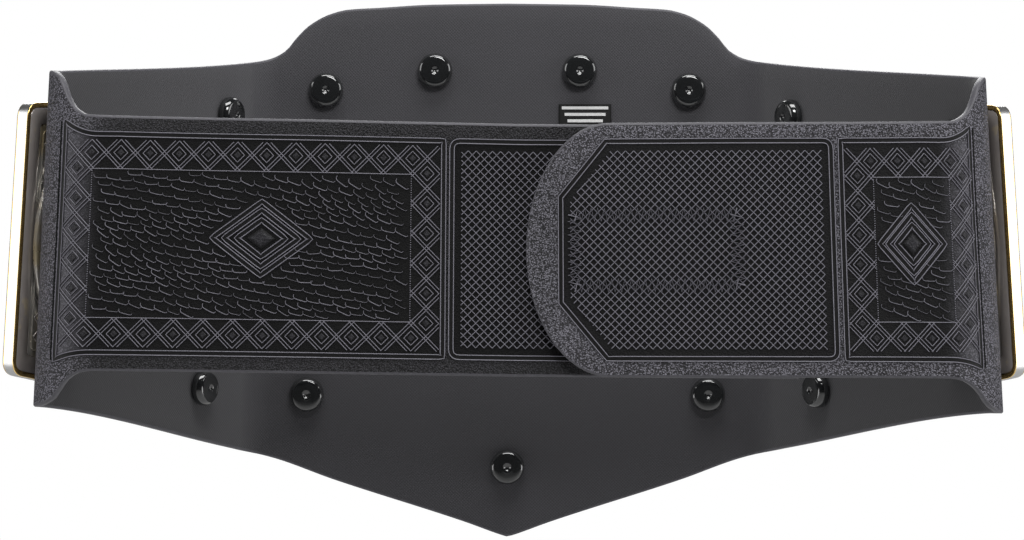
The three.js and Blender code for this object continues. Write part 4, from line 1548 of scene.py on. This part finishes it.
def build_side(side, label):
    """A side plate with its coin, its smoky back and the caps that hold it."""
    face = Face(side * (SIDE_START + SIDE_LENGTH / 2), SIDE_LENGTH / 3, -side * PLATE_PITCH)
    local = -side
    back = GAP + HUB_THICK + GAP
    front = back + PLATE_DEPTH
    rim_top = front + PLATE_RIM_RISE
    steps = [
        (PLATE_WALL, front - PLATE_FACE), (PLATE_WALL, back), (0.25, back), (0.08, back + 0.1),
        (0.0, back + 0.3), (0.0, back + 0.45), (0.0, rim_top - 0.75), (0.0, rim_top - 0.6),
        (0.2, rim_top - 0.15), (0.7, rim_top), (1.5, rim_top - 0.1), (2.0, rim_top - 0.5),
        (2.5, rim_top - 0.1), (3.2, rim_top), (3.7, rim_top - 0.3), (PLATE_RIM, front + 0.3),
        (PLATE_RIM + 0.4, front),
    ]
    wall_loop = 5
    index = [0] * len(steps) + [1]
    index[1 + wall_loop] = 2

    def outline(inset):
        return side_outline(side, inset)

    plate = moulded("moulded_plate", outline, steps, ["gold", "hammered", "satin"], index, face.to_belt)
    smooth_by_angle(plate, 50)

    boss_back = back + BACK_THICK + GAP
    post_end = boss_back + 0.5
    boss_radius = POST_RADIUS + POST_CLEARANCE + SIDE_BOSS_WALL
    boss_front = front - PLATE_FACE / 2
    pieces = [plate]
    number = 0
    for up in (1, -1):
        far_u = plate_front(up * PLATE_FAR_HALF) + SIDE_CAP_INSET
        far_edge = TOP_CAP_EDGE if up > 0 else LOW_CAP_EDGE
        for u, edge in ((far_u, far_edge), (PLATE_NEAR - NEAR_CAP_INSET, NEAR_CAP_EDGE)):
            number += 1
            centre = (local * u, up * (plate_half(u) - edge))
            name = f"boss_{number}"
            pieces.append(build_boss(name, face, centre, boss_radius, boss_back, boss_front, post_end + GAP))
            build_cap(face, f"cap_{label}_{number}", centre, post_end)
    carried(joined(f"moulded_side_plate_{label}", pieces), "gold", f"side_plate_{label}")

    hub = np.array([local * (PLATE_NEAR - HUB_FROM_NEAR), 0])
    lay = on_face(face, front)
    row = [(outline(PLATE_RIM + 2.0), True)]
    bead = bead_motif(*SIDE_BEAD, BEAD_SIDES)
    carried(beaded(f"bead_row_{label}", row, bead, SIDE_BEAD_PITCH, "gold", lay), "gold")

    def starts(angle):
        return COIN_RADIUS + RAYS_FROM_COIN

    build_rays(f"side_{label}", lay, hub, outline(PLATE_RIM + 4.2), starts, SIDE_RAYS)
    angles = np.linspace(0, 2 * math.pi, LAUREL_LEAVES, endpoint=False)
    places = [hub + (COIN_RADIUS + LAUREL_FROM_COIN) * np.array([math.cos(a), math.sin(a)]) for a in angles]
    turns = angles + math.pi / 2 + LAUREL_SPLAY * np.where(np.arange(LAUREL_LEAVES) % 2, 1, -1)
    laurel = scattered(f"laurel_{label}", places, turns, leaf_motif(6.4, 2.8, 1.3), "gold", lay, sharp=30)
    carried(laurel, "gold")
    build_coin(f"side_medallion_{label}", face, hub, front + GAP, SIDE_COIN_RISE, 5)
    build_side_back(label, face, outline, back, hub)


BACK_LINE = [(-0.35, -0.1), (-0.2, 0.35), (0.2, 0.35), (0.35, -0.1)]
BACK_CELLS = (7, 7)


def build_side_back(label, face, outline, back, hub):
    """The smoky moulding that closes a side plate, with its hub."""
    flange = PLATE_WALL + GAP
    inner = flange + BACK_FLANGE
    steps = [
        (flange, back + BACK_THICK), (flange, back + 0.3), (flange + 0.3, back),
        (inner - 0.4, back), (inner, back + 0.3), (inner, back + BACK_RECESS),
    ]
    index = [0] * len(steps) + [1]
    cover = moulded(f"clear_side_back_{label}", outline, steps, ["smoky", "bright"], index, face.to_belt)
    smooth_by_angle(cover, 50)
    carried(cover, "clear_back", f"side_back_{label}")

    down = on_face(face, back + BACK_RECESS, -1)
    edges = [(outline(inner + 0.5), True), (outline(inner + 2.6), True)]
    carried(lined(f"clear_edge_{label}", edges, BACK_LINE, "bright", down, 30), "clear_back")
    field = outline(inner + 3.6)
    cells = [(stepped(line, 8), False) for line in diagonals(field, (0, 0), BACK_CELLS)]
    lattice = lined(f"clear_cells_{label}", cells, BACK_LINE, "smoky", down, 30)
    carried(lattice, "clear_back")
    places = []
    for up in (-1, 1):
        for u in np.linspace(field[:, 0].min() + 5, field[:, 0].max() - 5, 6):
            places.append((u, up * (plate_half(abs(u)) - inner - 9)))
    turns = [0.0] * len(places)
    rosettes = scattered(
        f"tinted_rosettes_{label}", places, turns, bead_motif(2.4, 0.7, 12), "gold", down, sharp=30)
    carried(rosettes, "clear_back")

    hub_rows = [
        (0, GAP + HUB_THICK), (HUB_RADIUS - 0.3, GAP + HUB_THICK), (HUB_RADIUS, GAP + HUB_THICK - 0.3),
        (HUB_RADIUS, GAP + 0.3), (HUB_RADIUS - 0.3, GAP), (HUB_RADIUS - 2, GAP), (0, GAP),
    ]
    index = [1, 1, 1, 1, 0]
    disc = turned(f"turned_side_hub_{label}", hub_rows, 120, ["hub", "bright"], face.to_belt, hub, index)
    carried(disc, "hub", f"side_hub_{label}")


def soft_patch(name, start, end, low, high, inner, outer, finish, soft):
    """A thin patch with rounded edges that follows the strap."""
    steps = 24
    rows = []
    ring = [
        (low + soft, inner), (high - soft, inner), (high, inner + soft), (high, outer - soft),
        (high - soft, outer), (low + soft, outer), (low, outer - soft), (low, inner + soft),
    ]
    for s in np.linspace(start, end, steps):
        z = np.array([r[0] for r in ring])
        depth = np.array([r[1] for r in ring]) + ripple(s, z)
        rows.append(place(np.full(len(ring), s), z, depth))
    faces = loft_faces(steps, len(ring))
    faces += [list(range(len(ring))), [(steps - 1) * len(ring) + j for j in range(len(ring))]]
    return new_piece(name, np.concatenate(rows), faces, [finish])


def build_patches():
    """The closure pad between the tails, and the label with its plain woven bars."""
    pad_end = LOOP_HALF - PAD_FROM_MIDDLE
    inner = WALL / 2 + GAP
    pad = soft_patch(
        "hook_pad", pad_end - PAD_WIDTH, pad_end, PAD_LIFT - PAD_HEIGHT / 2, PAD_LIFT + PAD_HEIGHT / 2,
        inner, inner + PAD_THICK, "tape", 0.6)
    carried(pad, "pad", "closure_pad")
    face = -WALL / 2 - GAP
    start = LABEL_SIDE - LABEL_WIDTH / 2
    label = soft_patch(
        "woven_label", start, start + LABEL_WIDTH, LABEL_TOP - LABEL_HEIGHT, LABEL_TOP,
        face - LABEL_THICK, face, "tape", 0.15)
    carried(label, "label", "label")

    def lay(points):
        return place(points[:, 0], points[:, 1], face - LABEL_THICK - points[:, 2])

    middle = start + LABEL_WIDTH / 2
    routes = []
    for row in range(LABEL_ROWS):
        half = (LABEL_WIDTH / 2 - 1.2) * (1 - 0.12 * (row % 3))
        v = LABEL_TOP - 1.5 - (LABEL_HEIGHT - 3) * row / (LABEL_ROWS - 1)
        routes.append((stepped([(middle - half, v), (middle + half, v)], 3), False))
    marks = lined("label_weave_lines", routes, WEAVE_LINE, "pale_thread", lay, 60)
    carried(marks, "label")


FEATHER_ROUTE = [
    (-2.3, 1.55), (-2.33, 0.95), (-2.1, 0.42), (-1.5, 0.12), (-0.5, -0.12),
    (0.7, -0.36), (1.7, -0.5), (2.15, -0.3), (2.3, 0.1),
]
FEATHER_SECTION = [(-0.34, -0.12), (-0.12, 0.3), (0.02, 0.42), (0.15, 0.28), (0.34, 0.02), (0.34, -0.12)]


def feather_motif():
    """The raised lip of one feather: steep below, sloping away above."""
    route = np.array(FEATHER_ROUTE)
    heading = np.gradient(route, axis=0)
    heading /= np.linalg.norm(heading, axis=1)[:, None]
    left = np.stack([-heading[:, 1], heading[:, 0]], axis=-1)
    swell = np.sin(np.linspace(0.2, 0.8, len(route)) * math.pi) ** 0.5
    points = []
    for at, side, size in zip(route, left, swell):
        for across, height in FEATHER_SECTION:
            points.append((*(at + side * across * size), height))
    count = len(FEATHER_SECTION)
    faces = loft_faces(len(route), count)
    faces += [tuple(range(count)), tuple(len(points) - count + j for j in range(count))]
    return points, faces


def lozenge_centres(panel):
    """Centres of the border's lozenges: two rows and two columns of one diagonal lattice."""
    (first, last), along, up, row = panel["columns"], panel["along"], panel["up"], panel["row"]
    wide, tall = (last - first) / along, 2 * row / up
    rows = [(first + (i + 0.5) * wide, way * row) for way in (-1, 1) for i in range(along)]
    columns = [(x, -row + (j + 0.5) * tall) for x in (first, last) for j in range(up)]
    return rows + columns, (wide, tall)


def flared(points, bend_end):
    """Rows of a panel bent away from the middle near its end on the rear bend, as the strap's edges are."""
    near = np.clip(1 - np.abs(points[:, 0] - bend_end) / FLARE_RUN, 0, 1) ** 2
    reach = np.where(points[:, 1] > 0, FLARE_TOP, FLARE_LOW)
    return points + np.stack([0 * near, near * reach * points[:, 1] / FRAME_HALF], axis=-1)


LOZENGE = [(1, 0), (0, 1), (-1, 0), (0, -1)]


def build_lozenges(label, panel):
    """A lozenge panel: frame, border, the thin lines round the inner field, and its feathers."""
    lay = on_tail(panel["tail"])
    build_frame(label, panel, lay)
    first, last = panel["columns"]
    inner_left, inner_right = first + LOZENGE_REACH, last - LOZENGE_REACH
    inner_row = panel["row"] - LOZENGE_REACH
    field = box_region(inner_left, inner_right, -inner_row, inner_row)
    build_border(label, panel, field, lay)
    sides = [(stepped([(x, -inner_row), (x, inner_row)], 1.2), False) for x in (inner_left, inner_right)]
    dots = beaded(f"dotted_lines_{label}", sides, bead_motif(*DOT, DOT_SIDES), DOT_PITCH, "tooled", lay)
    carried(dots, "strap")
    build_feathers(label, field, lay)


def build_frame(label, panel, lay):
    """The moulding round a lozenge panel, and the groove beside it on the rear bend."""
    left, right = panel["ends"]
    bend_end = left if panel["tail"] < 0 else right
    frame_box = flared(stepped(box_region(left, right, -FRAME_HALF, FRAME_HALF), 1.5, True), bend_end)
    outline = lined(f"tooled_frame_{label}", [(frame_box, True)], MOULDING, "tooled", lay, 30)
    carried(outline, "strap")
    beside = bend_end + GROOVE_OUT * panel["tail"]
    groove = [(stepped([(beside, -FRAME_HALF - FLARE_LOW), (beside, FRAME_HALF + FLARE_TOP)], 1.5), False)]
    # The groove is a low near-black strip; its dark is painted shade.
    carried(lined(f"bend_groove_{label}", groove, GROOVE_LINE, "groove", lay, 30), "strap")


def build_border(label, panel, field, lay):
    """Lozenges in crossed pairs of lines round the inner field, each with a ring and a stud."""
    first, last = panel["columns"]
    row = panel["row"]
    centres, pitch = lozenge_centres(panel)
    outer_left, outer_right = first - LOZENGE_CLIP, last + LOZENGE_CLIP
    inner_left, inner_right = first + LOZENGE_REACH, last - LOZENGE_REACH
    inner_row, outer_row = row - LOZENGE_REACH, row + LOZENGE_CLIP
    regions = [
        box_region(outer_left, outer_right, inner_row, outer_row),
        box_region(outer_left, outer_right, -outer_row, -inner_row),
        box_region(outer_left, inner_left, -inner_row, inner_row),
        box_region(inner_right, outer_right, -inner_row, inner_row),
    ]
    routes = []
    for region in regions:
        for shift in (-LINE_PAIR, LINE_PAIR):
            for line in diagonals(region, (first, row), pitch, shift):
                routes.append((stepped(line, 1.6), False))
    for low, high in ((0, 1), (3, 2)):
        routes.append((stepped([field[low], field[high]], 1.6), False))
    border = lined(f"lozenge_border_{label}", routes, THIN_LINE, "tooled", lay, 60)
    carried(border, "strap")

    ring = np.array([LOZENGE_RING, LOZENGE_RING * pitch[1] / pitch[0]])
    rings = [(stepped(centre + ring * LOZENGE, 1.3, True), True) for centre in centres]
    carried(lined(f"lozenge_rings_{label}", rings, THIN_LINE, "tooled", lay, 60), "strap")
    half = [LOZENGE_STUD, LOZENGE_STUD * pitch[1] / pitch[0]]
    turns = [0.0] * len(centres)
    studs = scattered(
        f"lozenge_studs_{label}", centres, turns, stud_motif(*half, 0.34), "pressed", lay, sharp=20)
    carried(studs, "strap")


FEATHER_WIDE = 4.6
FEATHER_TALL = 2.85
FEATHER_FALL = {"left": 0.14, "right": 0.28}
MOTIF_CENTRE = {"left": (-91.0, 2.5), "right": (139.0, 2.0)}
MOTIF_HALF = {"left": (17.5, 13.0), "right": (11.5, 13.5)}


def feather_flow(x, v):
    """The way a feather runs, as an angle."""
    return math.radians(-4) + 0.12 * math.sin(x / 19.0 + v / 11.0) + 0.1 * math.sin(v / 7.0 - x / 31.0)


def build_feathers(label, field, lay):
    """Falling rows of feathers, leaving room for the centre motif."""
    (left, low), (right, high) = field[0], field[2]
    centre, half = MOTIF_CENTRE[label], MOTIF_HALF[label]
    fall = FEATHER_FALL[label]
    drop = fall * (right - left)
    places, turns = [], []
    for row in range(int((high - low + drop) / FEATHER_TALL) + 1):
        shift = (row % 3) * FEATHER_WIDE / 3
        for x in np.arange(left + 3.2 + shift, right - 2.4, FEATHER_WIDE):
            v = high + drop - 1.4 - row * FEATHER_TALL - fall * (x - left)
            v += 0.5 * math.sin(x / 12 + row)
            inside = abs(x - centre[0]) / (half[0] + 2.6) + abs(v - centre[1]) / (half[1] + 1.8) < 1
            if inside or v > high - 1.7 or v < low + 0.9:
                continue
            places.append((x, v))
            turns.append(feather_flow(x, v))
    feathers = scattered(
        f"tooled_feathers_{label}", places, turns, feather_motif(), "tooled", lay,
        turn_range=0.2, size_range=0.12, seed=7, sharp=50)
    carried(feathers, "strap")
    build_motif(label, centre, half, lay)


def build_motif(label, centre, half, lay):
    """A plain stepped lozenge in the middle of the feathers."""
    routes = []
    for share in (1.0, 0.76, 0.5):
        corners = [(centre[0] + half[0] * share * x, centre[1] + half[1] * share * y) for x, y in LOZENGE]
        routes.append((stepped(corners, 1.5, True), True))
    rings = lined(f"stepped_lozenge_{label}", routes, MOULDING, "tooled", lay, 30)
    carried(rings, "strap")
    boss = stud_motif(half[0] * 0.3, half[1] * 0.3, 0.8, 0.5)
    stud = scattered(f"lozenge_boss_{label}", [centre], [0.0], boss, "pressed", lay, sharp=20)
    carried(stud, "strap")


def build_hatch(label, tail, outline, field, centre):
    """A framed panel of fine diagonal hatching."""
    lay = on_tail(tail)
    frame_route = [(stepped(outline, 2.5, True), True)]
    moulding = lined(f"hatch_frame_{label}", frame_route, MOULDING, "tooled", lay, 30)
    carried(moulding, "strap")
    pitch = (HATCH_PITCH, HATCH_PITCH)
    routes = [(stepped(line, 6.0), False) for line in diagonals(field, centre, pitch)]
    hatch = lined(f"hatch_lines_{label}", routes, HATCH_LINE, "tooled", lay, 60)
    carried(hatch, "strap")


def build_tooling():
    """All that is pressed into the outer face of the tails."""
    for label, panel in LOZENGE_PANELS.items():
        build_lozenges(label, panel)

    left, right = HATCH_LEFT
    frame_left = rounded(box_region(left, right + HATCH_RUN_UNDER, -FRAME_HALF, FRAME_HALF), 3)
    field = box_region(left + HATCH_INSET, right, -FRAME_HALF + HATCH_INSET, FRAME_HALF - HATCH_INSET)
    build_hatch("left", -1, frame_left, field, (left, 0))

    left, right = HATCH_RIGHT
    corners = np.array([
        (left, CHAMFER_LOW), (CHAMFER_END, -FRAME_HALF), (right, -FRAME_HALF), (right, FRAME_HALF),
        (CHAMFER_END, FRAME_HALF), (left, CHAMFER_HIGH),
    ])
    turn_steps = 6
    rear_turns = rounded(corners, 3, turn_steps)[2 * turn_steps:4 * turn_steps]
    outline = np.vstack([corners[:2], rear_turns, corners[4:]])
    field = inset_outline(corners, HATCH_INSET)
    build_hatch("right", 1, outline, field, (left, 0))
    build_stitches()


def inset_outline(outline, inset):
    """A convex outline moved in by a distance."""
    before, after = np.roll(outline, 1, 0), np.roll(outline, -1, 0)
    way_in = outline - before
    way_out = after - outline
    way_in /= np.linalg.norm(way_in, axis=1)[:, None]
    way_out /= np.linalg.norm(way_out, axis=1)[:, None]
    normal_in = np.stack([-way_in[:, 1], way_in[:, 0]], axis=-1)
    normal_out = np.stack([-way_out[:, 1], way_out[:, 0]], axis=-1)
    middle = normal_in + normal_out
    return outline + inset * middle / (1 + np.sum(normal_in * normal_out, axis=1))[:, None]


STITCH_BAND = 4.6
STITCH_STEP = 1.15
STITCH_LIFT = 0.42


def zigzag(a, b, width, step):
    """A zigzag seam from a to b."""
    a, b = np.asarray(a, float), np.asarray(b, float)
    run = b - a
    length = np.linalg.norm(run)
    side = np.array([-run[1], run[0]]) / length
    count = int(length / step)
    return [a + run * i / count + side * width / 2 * (1 if i % 2 else -1) for i in range(count + 1)]


def build_stitches():
    """The seams that hold the closure, in zigzag thread through the right tail."""
    left, right, low, high = STITCH_BOX
    corners = [(left + 3, low), (right, low), (right, high), (left + 3, high)]
    routes = []
    for a, b in zip(corners, corners[1:] + corners[:1]):
        routes.append((np.array([(*p, STITCH_LIFT) for p in zigzag(a, b, STITCH_BAND, STITCH_STEP)]), False))
    seam = lined("closure_stitches", routes, THREAD, "thread", on_tail(1), 60)
    carried(seam, "strap")


# Camera and studio
CAMERA_AT = (1.8, -1259, -7)
LENS = 118.1
SENSOR_WIDTH = 36
FLOOR_DROP = 0.45
FLOOR_RADIUS = 2.2

# Soft boxes, in metres and watts: place, aim, width, height and power
SOFT_BOXES = {
    "overhead_box": ((0.1, -0.4, 1.3), (0, 0, 0), 1.2, 0.5, 15),
    "high_rear_box": ((0.3, -1.2, 0.9), (0.05, 0, 0), 0.7, 0.35, 13),
    "left_wall": ((-1.3, -0.3, 0.15), (-0.15, 0, 0), 0.9, 1.2, 10),
    "right_wall": ((1.3, -0.3, 0.15), (0.15, 0, 0), 0.9, 1.2, 12),
    "front_box": ((0.0, 1.4, 1.0), (0, 0, 0), 1.2, 0.9, 26),
}


def build_studio():
    """Floor, camera, soft boxes and a white room that lights the belt only faintly."""
    floor = new_piece("pale_floor_disc", *floor_rings(), ["floor"])
    data = bpy.data.cameras.new("view_camera")
    data.lens = LENS
    data.sensor_width = SENSOR_WIDTH
    data.clip_end = 100
    camera = bpy.data.objects.new("view_camera", data)
    camera.location = [c * MM for c in CAMERA_AT]
    camera.rotation_euler = (math.pi / 2, 0, 0)
    bpy.context.scene.collection.objects.link(camera)
    bpy.context.scene.camera = camera

    for name, settings in SOFT_BOXES.items():
        soft_light(name, *settings)

    world = bpy.data.worlds.new("white_room")
    world.use_nodes = True
    world.node_tree.nodes.clear()
    graph = Graph(world.node_tree)
    seen = graph.node("ShaderNodeLightPath", out="Is Camera Ray")
    strength = seen * 0.95 + 0.05
    room = graph.node("ShaderNodeBackground", None, {"Color": (1, 1, 1, 1), "Strength": strength})
    graph.node("ShaderNodeOutputWorld", None, {"Surface": room})
    bpy.context.scene.world = world
    bpy.context.scene.view_settings.view_transform = "Standard"


def floor_rings():
    """A wide disc a little below the belt, as points and faces."""
    sides = 64
    angle = np.linspace(0, 2 * math.pi, sides, endpoint=False)
    drop = -FLOOR_DROP / MM
    points = [(0, 0, drop)]
    for share in (0.25, 0.5, 0.75, 1.0):
        radius = share * FLOOR_RADIUS / MM
        points += [(radius * math.cos(a), radius * math.sin(a), drop) for a in angle]
    faces = [(0, 1 + j, 1 + (j + 1) % sides) for j in range(sides)]
    for ring in range(3):
        first = 1 + ring * sides
        for j in range(sides):
            right = (j + 1) % sides
            faces.append((first + j, first + sides + j, first + sides + right, first + right))
    return points, faces


def soft_light(name, at, aim, width, height, power):
    data = bpy.data.lights.new(name, "AREA")
    data.shape = "RECTANGLE"
    data.size = width
    data.size_y = height
    data.energy = power
    lamp = bpy.data.objects.new(name, data)
    lamp.location = at
    lamp.rotation_euler = (Vector(aim) - Vector(at)).to_track_quat("-Z", "Y").to_euler()
    bpy.context.scene.collection.objects.link(lamp)


build_studio()
build_strap()
build_main()
build_side(-1, "left")
build_side(1, "right")
build_patches()
build_tooling()
